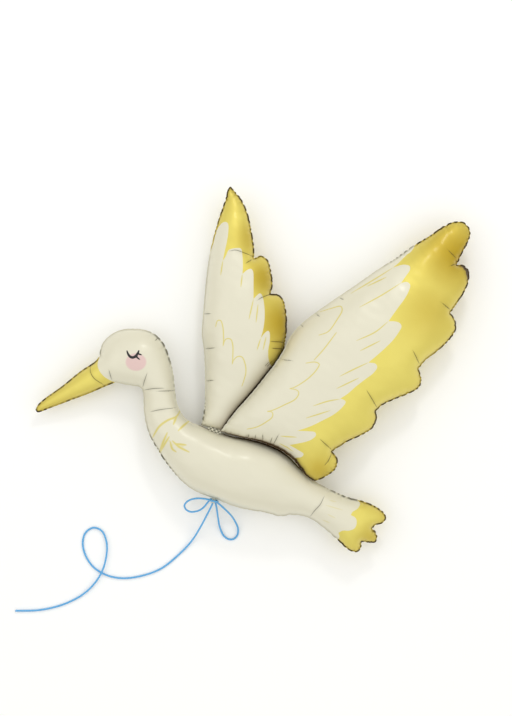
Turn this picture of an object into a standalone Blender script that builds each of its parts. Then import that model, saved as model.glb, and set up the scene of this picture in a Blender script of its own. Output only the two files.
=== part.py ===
"""A flying-stork foil balloon lying on its side: three inflated envelopes and a ribbon tied in a bow.

Each envelope is two films welded round their outline. Metres, +Z up, seen from above as in its side
view: +X runs from the beak to the near wing's tip and +Y from the belly to the raised wings. The
origin is on the floor, below the centre of the three envelopes' box.
"""

import math

import bpy
import numpy as np
from mathutils import Vector
from mathutils.bvhtree import BVHTree
from mathutils.geometry import delaunay_2d_cdt

# The balloon's span, from the beak's tip to the near wing's, and the drawing units across it. The
# outlines below are drawn in those units, x to the wing tips and y up, from the middle of the drawing.
SPAN = 1.170
UNITS_ACROSS = 436.0
UNIT = SPAN / UNITS_ACROSS

SEAM_WIDTH = 0.0045  # the welded margin round each envelope
SEAM_THICKNESS = 0.0012  # both films and their weld
EDGE_STEP = 0.016  # between the points along a seam
FILL_STEP = 0.024  # between the points inside an envelope
FLOOR_PRESS = 0.0035  # how far the floor flattens each envelope
LEAN_GAP = 0.003  # between two envelopes that lean on each other
LEAN_REACH = 0.0096  # how far round each point an envelope is held off the one under it
TOUCH_GAP = 0.0003  # between two pieces that touch

# The shoulder is a row of points just inside the weld line. Its place, its least distance from the weld
# line and that of the fill are shares of EDGE_STEP.
SHOULDER_INSET = 0.45
SHOULDER_CLEARANCE = 0.40
FILL_CLEARANCE = 0.95

# How round each envelope swells: 1 is a tube as thick as it is wide.
BODY_SWELL = 0.92
FAR_WING_SWELL = 0.78
NEAR_WING_SWELL = 0.62

HEAD_DROOP = 0.036  # how far the beak's tip hangs below the seam at the belly
NEAR_WING_RIDE = 0.022  # how far the near wing's front seam rides up on the far wing
NEAR_RIDE_REACH = 0.62  # from the near wing's root to where that ride has faded out
ROOT_REACH = 0.075  # from a wing's root to where its seam no longer bends towards the body's

# The filler stem at the belly, gathered into a flattened bundle, with the ribbon's knot round it.
STEM_WIDTH = 0.010
STEM_THICKNESS = 0.007
STEM_LENGTH = 0.013
STEM_PLACE = (-38.0, -128.4)
STEM_LEAN = math.radians(-107)
STEM_MARGIN = 0.4  # the most of its width that each of its weld margins takes
STEM_ROOT = 0.1  # the share of its length that counts as the belly

# The patch of film that welds the two wings to the body's back seam.
PATCH_LENGTH = 0.040
PATCH_WIDTH = 0.012
PATCH_THICKNESS = 0.0008
PATCH_PLACE = (-37.5, -60.3)
PATCH_TURN = math.radians(-21)
WING_ROOT = (-31.5, -61.0)

RIBBON_DIAMETER = 0.005
TAIL_STEP = 0.015  # between the points of the ribbon's long tail
BOW_STEP = 0.008  # between the points of its bows, which bend more
RIBBON_SIDES = 2  # the bevel resolution, which gives 8 sides
TAIL_START = 0.008  # the tail's straight start, away from the knot
BOW_START = 0.003  # the same for the bows
KNOT_FACETS = (24, 8)  # round the stem and round the ribbon
FLOOR_CLEARANCE = 0.0002  # under the ribbon where it lies on the floor
SPAN_STEPS = 10  # of a smooth curve, from each of its points to the next

CREAM = (0.80, 0.77, 0.64, 1.0)
RIBBON_BLUE = (0.10, 0.38, 0.68, 1.0)

# Each outline is a ring of runs. A run is smooth from end to end and meets the next at a corner.
BEAK_TOP = [(-218, -40), (-215.5, -35), (-209, -29), (-192, -17), (-172, -1), (-157, 9), (-153, 14)]
HEAD_AND_BACK = [
    (-153, 14), (-152, 21), (-149, 28), (-142, 35), (-132, 40), (-120, 41.5), (-107, 40),
    (-97, 35.5), (-89, 27), (-83, 13), (-79, -2), (-77, -20), (-75, -33), (-70, -44), (-62, -51.5),
    (-52, -55.5), (-40, -60.5), (-22, -66), (-2, -69.5), (18, -75.5), (33, -83.5), (47, -97),
    (61, -110), (78, -119.5), (98, -128), (113, -132), (125, -137.5), (133, -144), (134, -149.5),
    (130.5, -153.5), (124, -155.5), (120.5, -158.5),
]
TAIL_MIDDLE_FEATHER = [
    (120.5, -158.5), (124, -162.5), (125.5, -168), (123.5, -172.5), (118, -173.2), (110, -172),
]
TAIL_LOW_FEATHER_AND_BELLY = [
    (110, -172), (109, -179), (104, -182.5), (96, -179.5), (85, -169.5), (70, -156.5), (60, -149.5),
    (50, -145.8), (39, -144.8), (28, -146.2), (13, -142.5), (-12, -138), (-28, -132.5),
]
BREAST_AND_THROAT = [
    (-43, -126.7), (-53, -123), (-64, -116.5), (-74, -107.5), (-84, -95.5), (-95, -79), (-103, -64),
    (-107, -50), (-108.6, -35), (-108.8, -25), (-110, -19),
]
CHIN = [(-110, -19), (-114, -16.7), (-125, -15), (-137, -12.5)]
BEAK_UNDERSIDE = [
    (-137, -12.5), (-147, -16.5), (-162, -23), (-182, -30.5), (-202, -38), (-216, -42.6), (-218, -40),
]

FAR_WING = [
    [(-51, -55), (-49, -47), (-47.3, -33), (-47, -10), (-47.5, 10), (-48.5, 23), (-50.3, 36), (-49.3, 52),
     (-47.8, 70), (-46, 90), (-43, 112), (-38, 135), (-32, 155), (-26.5, 171), (-24.5, 179)],
    [(-24.5, 179), (-22, 183.3), (-17, 178.5), (-10, 169.5), (-4, 155), (0, 136), (2, 122), (2.2, 112)],
    [(2.2, 112), (9, 114.2), (15.5, 110), (19.3, 98), (20.6, 86), (18.6, 76)],
    [(18.6, 76), (26, 75.5), (31.5, 69.5), (34.2, 57), (34.7, 42), (33.4, 28), (30.5, 15), (25, 5.5), (14, -9),
     (-1, -27.5), (-16, -45), (-28, -61)],
    [(-28, -61), (-39, -58.5), (-51, -55)],
]
NEAR_WING = [
    [(-31.5, -61), (-17.5, -42.5), (-2, -25), (13, -6.5), (24, 8), (31.5, 20), (38, 33), (48, 45), (63, 57),
     (83, 71), (103, 84.5), (123, 98.5), (143, 111.5), (160, 123.5), (178, 134.5), (193, 144.5),
     (204, 148.3), (213, 146.5), (218, 138), (215.5, 127), (209.5, 116), (204.8, 105)],
    [(204.8, 105), (210.5, 104.8), (216, 100), (216.5, 90), (211.5, 77), (205, 67), (198.3, 57)],
    [(198.3, 57), (203, 49), (203.3, 40), (196, 29), (184, 18), (173, 9.5), (166.3, 1)],
    [(166.3, 1), (169.3, -9), (167, -17), (158, -22.8), (143, -29), (131, -34.5), (123.5, -40.5)],
    [(123.5, -40.5), (124.2, -49), (119.5, -58.5), (108, -65.5), (95, -71.5), (80, -81)],
    [(80, -81), (85, -88.5), (84, -97.5), (77, -104), (69, -108.5), (62.5, -110.5)],
    [(62.5, -110.5), (54.5, -105.5), (46.5, -95.5), (37.5, -86), (25.5, -78.2), (9, -71.5), (-8, -67.4),
     (-22.5, -64.2), (-31.5, -61)],
]

# The ribbon's three runs, after the straight starts at the knot. Each point has its x and y, its share
# of the drop from the knot to the floor, and how many ribbon diameters it is lifted to pass over the
# ribbon itself. The tail crosses itself once, in a long low hump.
RIBBON_TAIL = [
    (-46, -147, 0.66, 0), (-52.3, -159, 0.34, 0), (-61, -173, 0.10, 0), (-73, -186, 0.01, 0),
    (-92, -201.3, 0, 0), (-112, -208.8, 0, 0), (-131, -211.2, 0, 0), (-146, -208.6, 0, 0),
    (-160, -200.6, 0, 0), (-168.6, -188.5, 0, 0), (-171.6, -175.5, 0, 0), (-168.7, -165, 0, 0),
    (-160.6, -160, 0, 0.06), (-152.3, -163.2, 0, 0.34), (-147.2, -175.5, 0, 0.80), (-147.9, -191, 0, 1.12),
    (-152.6, -205.5, 0, 1.16), (-161, -218, 0, 0.78), (-173, -228.6, 0, 0.28), (-192, -238, 0, 0.03),
    (-215, -243.4, 0, 0), (-240, -244.3, 0, 0),
]
BOW_LEFT = [
    (-49.5, -128.6, 1.00, 0), (-56.2, -128.7, 0.88, 0), (-63.3, -130.9, 0.76, 0), (-67.4, -134.8, 0.64, 0),
    (-67.8, -137.9, 0.57, 0), (-65.9, -140.9, 0.54, 0), (-61.6, -142.8, 0.55, 0), (-54.4, -141.7, 0.61, 0),
    (-49.1, -138.4, 0.72, 0),
]
BOW_RIGHT = [
    (-29.6, -137.0, 0.98, 0), (-22.9, -144.1, 0.67, 0), (-17.7, -152.1, 0.25, 0), (-14.2, -160.9, 0.06, 0),
    (-14.9, -167.4, 0.01, 0), (-18.5, -171.3, 0, 0), (-23.5, -171.7, 0, 0), (-28.6, -168.2, 0.01, 0),
    (-32.6, -159.3, 0.11, 0), (-34.3, -148.9, 0.40, 0), (-35.5, -138.8, 0.75, 0),
]

# How each bow's first and last strand leaves the knot, in degrees: how far round the stem from the right
# its place is, and how far the strand leans from there along the stem.
BOW_LEFT_ENDS = [(165, 5), (210, 42)]
BOW_RIGHT_ENDS = [(10, 18), (-45, 55)]


def clear_scene():
    for old in list(bpy.data.objects):
        bpy.data.objects.remove(old)


def material(name, colour, roughness, metallic):
    made = bpy.data.materials.new(name)
    made.use_nodes = True
    shader = made.node_tree.nodes["Principled BSDF"]
    shader.inputs["Base Color"].default_value = colour
    shader.inputs["Roughness"].default_value = roughness
    shader.inputs["Metallic"].default_value = metallic
    return made


def place(name, vertices, faces, paint, smooth_angle):
    """Put a closed mesh into the scene, smooth except where it turns by more than smooth_angle."""
    mesh = bpy.data.meshes.new(name)
    mesh.from_pydata(np.asarray(vertices).tolist(), [], faces)
    mesh.materials.append(paint)
    mesh.shade_smooth()
    mesh.set_sharp_from_angle(angle=math.radians(smooth_angle))
    made = bpy.data.objects.new(name, mesh)
    bpy.context.scene.collection.objects.link(made)
    return made


def smooth_run(points, per_span=SPAN_STEPS):
    """A centripetal Catmull-Rom curve through the points, as many short steps."""
    p = np.array(points, float)
    p = np.vstack([2 * p[0] - p[1], p, 2 * p[-1] - p[-2]])
    knots = np.concatenate([[0], np.cumsum(np.linalg.norm(np.diff(p, axis=0), axis=1) ** 0.5)])
    curve = []
    for i in range(1, len(p) - 2):
        t0, t1, t2, t3 = knots[i - 1 : i + 3]
        t = np.linspace(t1, t2, per_span, endpoint=False)[:, None]
        a1 = (t1 - t) / (t1 - t0) * p[i - 1] + (t - t0) / (t1 - t0) * p[i]
        a2 = (t2 - t) / (t2 - t1) * p[i] + (t - t1) / (t2 - t1) * p[i + 1]
        a3 = (t3 - t) / (t3 - t2) * p[i + 1] + (t - t2) / (t3 - t2) * p[i + 2]
        b1 = (t2 - t) / (t2 - t0) * a1 + (t - t0) / (t2 - t0) * a2
        b2 = (t3 - t) / (t3 - t1) * a2 + (t - t1) / (t3 - t1) * a3
        curve.append((t2 - t) / (t2 - t1) * b1 + (t - t1) / (t2 - t1) * b2)
    return np.vstack([*curve, p[-2][None]])


def evenly(curve, step):
    """The curve again, with points about step apart and its own two ends."""
    along = np.concatenate([[0], np.cumsum(np.linalg.norm(np.diff(curve, axis=0), axis=1))])
    at = np.linspace(0, along[-1], max(2, round(along[-1] / step) + 1))
    return np.stack([np.interp(at, along, curve[:, k]) for k in range(curve.shape[1])], axis=1)


def ring_of(runs, step):
    """A closed outline in metres from runs in drawing units, clockwise as the runs are drawn."""
    pieces = [evenly(smooth_run(run) * UNIT, step)[:-1] for run in runs]
    return np.vstack(pieces)


def stem_axes():
    """The filler stem's root in metres from the drawing's middle, and its directions out and sideways."""
    out = np.array([math.cos(STEM_LEAN), math.sin(STEM_LEAN)])
    return np.array(STEM_PLACE) * UNIT, out, np.array([-out[1], out[0]])


def stem_corners():
    """The stem's four corners in drawing units, from its root on the belly, round its end and back."""
    root, out, side = stem_axes()
    half = side * STEM_WIDTH / 2
    end = root + out * STEM_LENGTH
    return [tuple(corner / UNIT) for corner in (root + half, end + half, end - half, root - half)]


def on_stem(points, slack=0.0):
    """Which points lie on the stem, out from the belly's edge."""
    root, out, side = stem_axes()
    away = points - root
    return (away @ out > STEM_LENGTH * STEM_ROOT) & (np.abs(away @ side) < STEM_WIDTH / 2 + slack)


def body_runs():
    """The body's outline, with the stem set into the belly between its two long runs."""
    right, end_right, end_left, left = stem_corners()
    return [
        BEAK_TOP,
        HEAD_AND_BACK,
        TAIL_MIDDLE_FEATHER,
        [*TAIL_LOW_FEATHER_AND_BELLY, right],
        [right, end_right],
        [end_right, end_left],
        [end_left, left],
        [left, *BREAST_AND_THROAT],
        CHIN,
        BEAK_UNDERSIDE,
    ]


def outline_centre(outlines):
    """The middle of the box round all the outlines, in metres from the drawing's middle."""
    points = np.vstack([ring_of(runs, EDGE_STEP) for runs in outlines])
    return (points.min(0) + points.max(0)) / 2


def inset(ring, distance):
    """The ring moved inwards by distance, along the bisector at each point. The ring runs clockwise."""
    ahead = np.roll(ring, -1, axis=0) - ring
    behind = ring - np.roll(ring, 1, axis=0)
    ahead /= np.linalg.norm(ahead, axis=1)[:, None]
    behind /= np.linalg.norm(behind, axis=1)[:, None]
    along = ahead + behind
    along /= np.linalg.norm(along, axis=1)[:, None]
    inwards = np.stack([along[:, 1], -along[:, 0]], axis=1)
    return ring + inwards * np.broadcast_to(distance, len(ring))[:, None]


def inside(points, ring):
    """Whether each point lies inside the ring, by counting the ring's edges to its right."""
    x, y = points[:, :1], points[:, 1:]
    a, b = ring, np.roll(ring, -1, axis=0)
    crosses = (a[:, 1] > y) != (b[:, 1] > y)
    rise = np.where(b[:, 1] == a[:, 1], 1e-12, b[:, 1] - a[:, 1])
    at = a[:, 0] + (y - a[:, 1]) / rise * (b[:, 0] - a[:, 0])
    return (crosses & (x < at)).sum(1) % 2 == 1


def distance_to(points, ring):
    """How far each point is from the ring's edges."""
    a, b = ring, np.roll(ring, -1, axis=0)
    d = b - a
    away = points[:, None] - a
    share = np.clip((away * d).sum(2) / (d * d).sum(1), 0, 1)
    return np.linalg.norm(away - share[..., None] * d, axis=2).min(1)


def filled(rim, weld):
    """Points and triangles of the flat envelope: its rim, its weld line and a staggered fill inside."""
    low, high = weld.min(0), weld.max(0)
    rows = np.arange(low[1], high[1], FILL_STEP * math.sqrt(3) / 2)
    columns = np.arange(low[0], high[0], FILL_STEP)
    x, y = np.meshgrid(columns, rows)
    x = x + (np.arange(len(rows)) % 2)[:, None] * FILL_STEP / 2
    fill = np.stack([x.ravel(), y.ravel()], axis=1)
    fill = fill[inside(fill, weld)]
    fill = fill[distance_to(fill, weld) > EDGE_STEP * FILL_CLEARANCE]
    shoulder = inset(weld, EDGE_STEP * SHOULDER_INSET)
    shoulder = shoulder[inside(shoulder, weld)]
    shoulder = shoulder[distance_to(shoulder, weld) > EDGE_STEP * SHOULDER_CLEARANCE]
    points = np.vstack([rim, weld, shoulder, fill])
    n = len(rim)
    edges = [(i, (i + 1) % n) for i in range(n)] + [(n + i, n + (i + 1) % n) for i in range(n)]
    made, _, faces, *_ = delaunay_2d_cdt([Vector(p) for p in points], edges, [], 0, 1e-7)
    made = np.array(made)[:, :2]
    triangles = np.array([f for f in faces if len(f) == 3])
    keep = inside(made[triangles].mean(1), rim)
    return made, triangles[keep]


def twice_area(points, triangles):
    """Twice each triangle's area, positive where it runs anticlockwise."""
    a, b, c = (points[triangles[:, k]] for k in range(3))
    return (b[:, 0] - a[:, 0]) * (c[:, 1] - a[:, 1]) - (b[:, 1] - a[:, 1]) * (c[:, 0] - a[:, 0])


def swelling(points, triangles, free):
    """The films' height over the weld line: u solves -div grad u = 1, and sqrt(2 u) is the height.

    For a long strip that is a half circle, and for a disc an ellipsoid 0.7 as thick as it is wide.
    """
    n = len(points)
    a, b, c = (points[triangles[:, k]] for k in range(3))
    area = np.abs(twice_area(points, triangles)) / 2
    sides = np.stack([c - b, a - c, b - a], axis=1)
    stiffness, load = np.zeros((n, n)), np.zeros(n)
    for i in range(3):
        np.add.at(load, triangles[:, i], area / 3)
        for j in range(3):
            value = (sides[:, i] * sides[:, j]).sum(1) / (4 * area)
            np.add.at(stiffness, (triangles[:, i], triangles[:, j]), value)
    u = np.zeros(n)
    u[free] = np.linalg.solve(stiffness[np.ix_(free, free)], load[free])
    return np.sqrt(2 * np.maximum(u, 0))


def highest_under(points, lower, reach):
    """The highest top of the lower envelopes within reach of each point, or -1 where there is none."""
    high = np.full(len(points), -1.0)
    turns = np.arange(8) * math.pi / 4
    around = [(0.0, 0.0), *zip(np.cos(turns) * reach, np.sin(turns) * reach)]
    for tree in lower:
        for i, (x, y) in enumerate(points):
            for dx, dy in around:
                hit = tree.ray_cast(Vector((x + dx, y + dy, 1.0)), Vector((0, 0, -1)))[0]
                if hit is not None:
                    high[i] = max(high[i], hit.z)
    return high


def fading(distance, reach):
    """1 at no distance, falling smoothly to 0 at reach."""
    t = np.clip(distance / reach, 0, 1)
    return 1 - t * t * (3 - 2 * t)


def envelope(name, runs, centre, swell, ride, paint, root_height=None, lower=(), stem=False):
    """One inflated envelope, lying on the floor.

    ride gives how far its seam rides over the level that lets the floor flatten the film by
    FLOOR_PRESS. A wing's seam bends to root_height at its root. lower are the envelopes it leans on.
    """
    rim = ring_of(runs, EDGE_STEP)
    margin = np.full(len(rim), SEAM_WIDTH)
    if stem:
        margin[on_stem(rim, TOUCH_GAP)] = min(SEAM_WIDTH, STEM_WIDTH * STEM_MARGIN)
    weld = inset(rim, margin)
    points, triangles = filled(rim, weld)
    free = inside(points, weld) & (distance_to(points, weld) > 1e-5)
    height = swelling(points, triangles, np.flatnonzero(free)) * swell
    seam = ride(points)
    seam = seam - (seam - height)[free].min() - FLOOR_PRESS
    if root_height is not None:
        away = np.linalg.norm(points - np.array(WING_ROOT) * UNIT, axis=1)
        seam = seam + (root_height - seam[away.argmin()]) * fading(away, ROOT_REACH)
    if stem:
        gathered = on_stem(points) & (np.arange(len(points)) >= len(rim))
        height[gathered] = (STEM_THICKNESS - SEAM_THICKNESS) / 2
    top = seam + SEAM_THICKNESS / 2 + height
    bottom = np.maximum(seam - SEAM_THICKNESS / 2 - height, 0)
    flat = points - centre
    if lower:
        bottom = np.maximum(bottom, highest_under(flat, lower, LEAN_REACH) + LEAN_GAP)
        top = np.maximum(top, bottom + SEAM_THICKNESS)
    m, n = len(points), len(rim)
    vertices = np.vstack([np.column_stack([flat, top]), np.column_stack([flat, bottom])])
    anticlockwise = twice_area(flat, triangles)[:, None] > 0
    upper = np.where(anticlockwise, triangles, triangles[:, ::-1])
    edge = [((i + 1) % n, m + (i + 1) % n, m + i, i) for i in range(n)]
    place(name, vertices, upper.tolist() + (upper[:, ::-1] + m).tolist() + edge, paint, 60)
    return points, seam, BVHTree.FromPolygons(vertices.tolist(), upper.tolist())


def seam_level(points, seam, at):
    """The height of an envelope's seam nearest to a place in drawing units."""
    away = np.linalg.norm(points - np.array(at) * UNIT, axis=1)
    return seam[away.argmin()]


def patch_outline(centre):
    """The weld patch seen from above: a strip with round ends."""
    half, radius = PATCH_LENGTH / 2 - PATCH_WIDTH / 2, PATCH_WIDTH / 2
    turns = np.linspace(-math.pi / 2, math.pi / 2, 7)
    end = np.stack([half + radius * np.cos(turns), radius * np.sin(turns)], axis=1)
    flat = np.vstack([end, -end])
    c, s = math.cos(PATCH_TURN), math.sin(PATCH_TURN)
    return flat @ np.array([[c, s], [-s, c]]) + np.array(PATCH_PLACE) * UNIT - centre


def patch(name, flat, level, paint):
    """The weld patch: the flat strip of film, lying at level on the wings' and the body's seams."""
    n = len(flat)
    low = np.column_stack([flat, np.full(n, level)])
    high = np.column_stack([flat, np.full(n, level + PATCH_THICKNESS)])
    edge = [(i, (i + 1) % n, n + (i + 1) % n, n + i) for i in range(n)]
    faces = [tuple(range(n))[::-1], tuple(range(n, 2 * n)), *edge]
    return place(name, np.vstack([low, high]), faces, paint, 40)


class Knot:
    """The ribbon's turn round the stem, and the places where its strands leave it."""

    def __init__(self, centre, level):
        root, out, side = stem_axes()
        self.centre = centre
        self.middle = np.array([*(root + out * STEM_LENGTH / 2 - centre), level])
        self.out = np.array([*out, 0.0])
        self.side = np.array([*side, 0.0])
        self.up = np.array([0.0, 0.0, 1.0])
        self.radius = STEM_WIDTH / 2 + TOUCH_GAP + RIBBON_DIAMETER / 2
        self.floor = RIBBON_DIAMETER / 2 + FLOOR_CLEARANCE

    def ring(self, name, paint):
        """A torus round the stem: angle u round the stem and v round the ribbon."""
        rounds, sides = KNOT_FACETS
        u = (np.arange(rounds) * 2 * math.pi / rounds)[:, None, None]
        v = (np.arange(sides) * 2 * math.pi / sides)[None, :, None]
        outwards = self.side * np.cos(u) + self.up * np.sin(u)
        ribbon = RIBBON_DIAMETER / 2
        points = self.middle + outwards * (self.radius + ribbon * np.cos(v)) + self.out * ribbon * np.sin(v)
        index = np.arange(rounds * sides).reshape(rounds, sides)
        right, up = np.roll(index, -1, axis=0), np.roll(index, -1, axis=1)
        corner = np.roll(right, -1, axis=1)
        faces = np.stack([index, right, corner, up], axis=2).reshape(-1, 4).tolist()
        return place(name, points.reshape(-1, 3), faces, paint, 60)

    def bow_start(self, turn, lean):
        """The two first points of a bow's strand, from the ring at the angle turn, leaned along the stem."""
        outwards = self.side * math.cos(turn) + self.up * math.sin(turn)
        away = outwards * math.cos(lean) + self.out * math.sin(lean)
        start = self.middle + outwards * self.radius + away * (RIBBON_DIAMETER / 2 + TOUCH_GAP)
        return start, start + away * BOW_START

    def tail_start(self):
        """The two first points of the tail, out from the underside of the ring."""
        low = self.middle - self.up * self.radius
        reach = RIBBON_DIAMETER / 2 + TOUCH_GAP
        return low + self.out * reach, low + self.out * (reach + TAIL_START)

    def laid(self, route):
        """A route's points in metres, with their heights from the drop to the floor and the lifts."""
        r = np.array(route)
        drop = self.middle[2] - self.floor
        height = self.floor + r[:, 2] * drop + r[:, 3] * RIBBON_DIAMETER
        return np.column_stack([r[:, :2] * UNIT - self.centre, height])

    def bow(self, route, ends):
        """A bow's points, from its first place on the knot, round its loop and back to its last."""
        first, last = (self.bow_start(math.radians(turn), math.radians(lean)) for turn, lean in ends)
        return [*first, *self.laid(route), *last[::-1]]


def ribbon(name, points, step, lowest, paint):
    """A run of ribbon: a round tube along a smooth curve through the points, straight at both ends."""
    curve = smooth_run(points)
    curve = np.vstack([curve[:1], evenly(curve[SPAN_STEPS:-SPAN_STEPS], step), curve[-1:]])
    curve[:, 2] = np.maximum(curve[:, 2], lowest)
    data = bpy.data.curves.new(name, "CURVE")
    data.dimensions = "3D"
    data.bevel_depth = RIBBON_DIAMETER / 2
    data.bevel_resolution = RIBBON_SIDES
    data.use_fill_caps = True
    spline = data.splines.new("POLY")
    spline.points.add(len(curve) - 1)
    spline.points.foreach_set("co", np.column_stack([curve, np.ones(len(curve))]).ravel())
    data.materials.append(paint)
    made = bpy.data.objects.new(name, data)
    bpy.context.scene.collection.objects.link(made)
    return made


def build():
    clear_scene()
    foil = material("cream_foil", CREAM, 0.35, 0.1)
    blue = material("blue_ribbon", RIBBON_BLUE, 0.45, 0.0)
    centre = outline_centre([body_runs(), FAR_WING, NEAR_WING])

    def head_hangs(points):
        beak_tip = BEAK_TOP[0][0] * UNIT
        return -HEAD_DROOP * (points[:, 0] / beak_tip) ** 2

    def level(points):
        return np.zeros(len(points))

    def front_rides(points):
        away = np.linalg.norm(points - np.array(WING_ROOT) * UNIT, axis=1)
        return NEAR_WING_RIDE * fading(away, NEAR_RIDE_REACH)

    points, seam, body = envelope("body_envelope", body_runs(), centre, BODY_SWELL, head_hangs, foil, stem=True)
    back = seam_level(points, seam, WING_ROOT)
    belly = seam_level(points, seam, STEM_PLACE)
    far = envelope("far_wing", FAR_WING, centre, FAR_WING_SWELL, level, foil, root_height=back)[2]
    strip = patch_outline(centre)
    round_strip = evenly(np.vstack([strip, strip[:1]]), TOUCH_GAP * 2)
    weld = highest_under(round_strip, (body, far), TOUCH_GAP).max() + TOUCH_GAP
    patch("wing_weld_patch", strip, weld, foil)
    near_root = weld + PATCH_THICKNESS + TOUCH_GAP + SEAM_THICKNESS / 2
    envelope(
        "near_wing", NEAR_WING, centre, NEAR_WING_SWELL, front_rides, foil, root_height=near_root,
        lower=(body, far),
    )

    knot = Knot(centre, belly)
    knot.ring("ribbon_knot", blue)
    tail = [*knot.tail_start(), *knot.laid(RIBBON_TAIL)]
    ribbon("ribbon_tail", tail, TAIL_STEP, knot.floor, blue)
    ribbon("ribbon_bow_left", knot.bow(BOW_LEFT, BOW_LEFT_ENDS), BOW_STEP, knot.floor, blue)
    ribbon("ribbon_bow_right", knot.bow(BOW_RIGHT, BOW_RIGHT_ENDS), BOW_STEP, knot.floor, blue)


build()
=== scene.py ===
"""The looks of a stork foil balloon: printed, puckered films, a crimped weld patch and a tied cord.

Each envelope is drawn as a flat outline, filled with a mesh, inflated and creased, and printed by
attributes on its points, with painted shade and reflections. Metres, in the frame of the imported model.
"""

import math

import bpy
import numpy as np
from bpy.props import FloatProperty, FloatVectorProperty, PointerProperty
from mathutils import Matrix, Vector
from mathutils.geometry import delaunay_2d_cdt


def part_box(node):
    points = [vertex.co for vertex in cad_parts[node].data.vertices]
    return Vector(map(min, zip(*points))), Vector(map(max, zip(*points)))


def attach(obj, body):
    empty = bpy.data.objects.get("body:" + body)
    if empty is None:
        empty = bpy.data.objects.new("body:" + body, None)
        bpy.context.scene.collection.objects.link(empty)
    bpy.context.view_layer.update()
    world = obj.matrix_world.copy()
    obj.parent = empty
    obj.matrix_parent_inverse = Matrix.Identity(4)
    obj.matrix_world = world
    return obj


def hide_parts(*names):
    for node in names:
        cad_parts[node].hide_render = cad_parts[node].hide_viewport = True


bl_info = {
    "name": "Stork foil balloon",
    "version": (1, 0, 0),
    "blender": (4, 5, 0),
    "location": "3D View > Sidebar > Stork",
    "description": "Makes the films, the weld patch, the ribbon and the stage of a stork foil balloon",
    "category": "Object",
}

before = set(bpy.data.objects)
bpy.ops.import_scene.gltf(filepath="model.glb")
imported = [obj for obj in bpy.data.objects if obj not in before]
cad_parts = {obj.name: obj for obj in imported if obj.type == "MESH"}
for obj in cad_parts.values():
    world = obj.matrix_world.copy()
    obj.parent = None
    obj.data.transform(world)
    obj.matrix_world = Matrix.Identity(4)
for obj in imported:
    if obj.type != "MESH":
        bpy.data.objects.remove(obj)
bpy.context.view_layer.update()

# The outlines and the print are drawn in units, x towards the wing tips and y up from the middle of the
# drawing. So many of them lie across the span, from the beak's tip to the near wing's.
UNITS_ACROSS = 436.0

# Each outline is a ring of runs, clockwise. A run is smooth and meets the next at a corner.
BODY = [
    [(-218, -40), (-215.5, -35), (-209, -29), (-192, -17), (-172, -1), (-157, 9), (-153, 14)],
    [(-153, 14), (-152, 21), (-149, 28), (-142, 35), (-132, 40), (-120, 41.5), (-107, 40), (-97, 35.5),
     (-89, 27), (-83, 13), (-79, -2), (-77, -20), (-75, -33), (-70, -44), (-62, -51.5), (-52, -55.5),
     (-40, -60.5), (-22, -66), (-2, -69.5), (18, -75.5), (33, -83.5), (47, -97), (61, -110), (78, -119.5),
     (98, -128), (113, -132), (125, -137.5), (133, -144), (134, -149.5), (130.5, -153.5), (124, -155.5),
     (120.5, -158.5)],
    [(120.5, -158.5), (124, -162.5), (125.5, -168), (123.5, -172.5), (118, -173.2), (110, -172)],
    [(110, -172), (109, -179), (104, -182.5), (96, -179.5), (85, -169.5), (70, -156.5), (60, -149.5),
     (50, -145.8), (39, -144.8), (28, -146.2), (13, -142.5), (-12, -138), (-28, -132.5)],
    [(-43, -126.7), (-53, -123), (-64, -116.5), (-74, -107.5), (-84, -95.5), (-95, -79), (-103, -64),
     (-107, -50), (-108.6, -35), (-108.8, -25), (-110, -19)],
    [(-110, -19), (-114, -16.7), (-125, -15), (-137, -12.5)],
    [(-137, -12.5), (-147, -16.5), (-162, -23), (-182, -30.5), (-202, -38), (-216, -42.6), (-218, -40)],
]
BELLY_RUN = 3  # the stem stands between the end of this run of the body and the start of the next
FAR_WING = [
    [(-51, -55), (-49, -47), (-47.3, -33), (-47, -10), (-47.5, 10), (-48.5, 23), (-50.3, 36), (-49.3, 52),
     (-47.8, 70), (-46, 90), (-43, 112), (-38, 135), (-32, 155), (-26.5, 171), (-24.5, 179)],
    [(-24.5, 179), (-22, 183.3), (-17, 178.5), (-10, 169.5), (-4, 155), (0, 136), (2, 122), (2.2, 112)],
    [(2.2, 112), (9, 114.2), (15.5, 110), (19.3, 98), (20.6, 86), (18.6, 76)],
    [(18.6, 76), (26, 75.5), (31.5, 69.5), (34.2, 57), (34.7, 42), (33.4, 28), (30.5, 15), (25, 5.5),
     (14, -9), (-1, -27.5), (-16, -45), (-28, -61)],
    [(-28, -61), (-39, -58.5), (-51, -55)],
]
NEAR_WING = [
    [(-31.5, -61), (-17.5, -42.5), (-2, -25), (13, -6.5), (24, 8), (31.5, 20), (38, 33), (48, 45), (63, 57),
     (83, 71), (103, 84.5), (123, 98.5), (143, 111.5), (160, 123.5), (178, 134.5), (193, 144.5),
     (204, 148.3), (213, 146.5), (218, 138), (215.5, 127), (209.5, 116), (204.8, 105)],
    [(204.8, 105), (210.5, 104.8), (216, 100), (216.5, 90), (211.5, 77), (205, 67), (198.3, 57)],
    [(198.3, 57), (203, 49), (203.3, 40), (196, 29), (184, 18), (173, 9.5), (166.3, 1)],
    [(166.3, 1), (169.3, -9), (167, -17), (158, -22.8), (143, -29), (131, -34.5), (123.5, -40.5)],
    [(123.5, -40.5), (124.2, -49), (119.5, -58.5), (108, -65.5), (95, -71.5), (80, -81)],
    [(80, -81), (85, -88.5), (84, -97.5), (77, -104), (69, -108.5), (62.5, -110.5)],
    [(62.5, -110.5), (54.5, -105.5), (46.5, -95.5), (37.5, -86), (25.5, -78.2), (9, -71.5), (-8, -67.4),
     (-22.5, -64.2), (-31.5, -61)],
]

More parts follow.
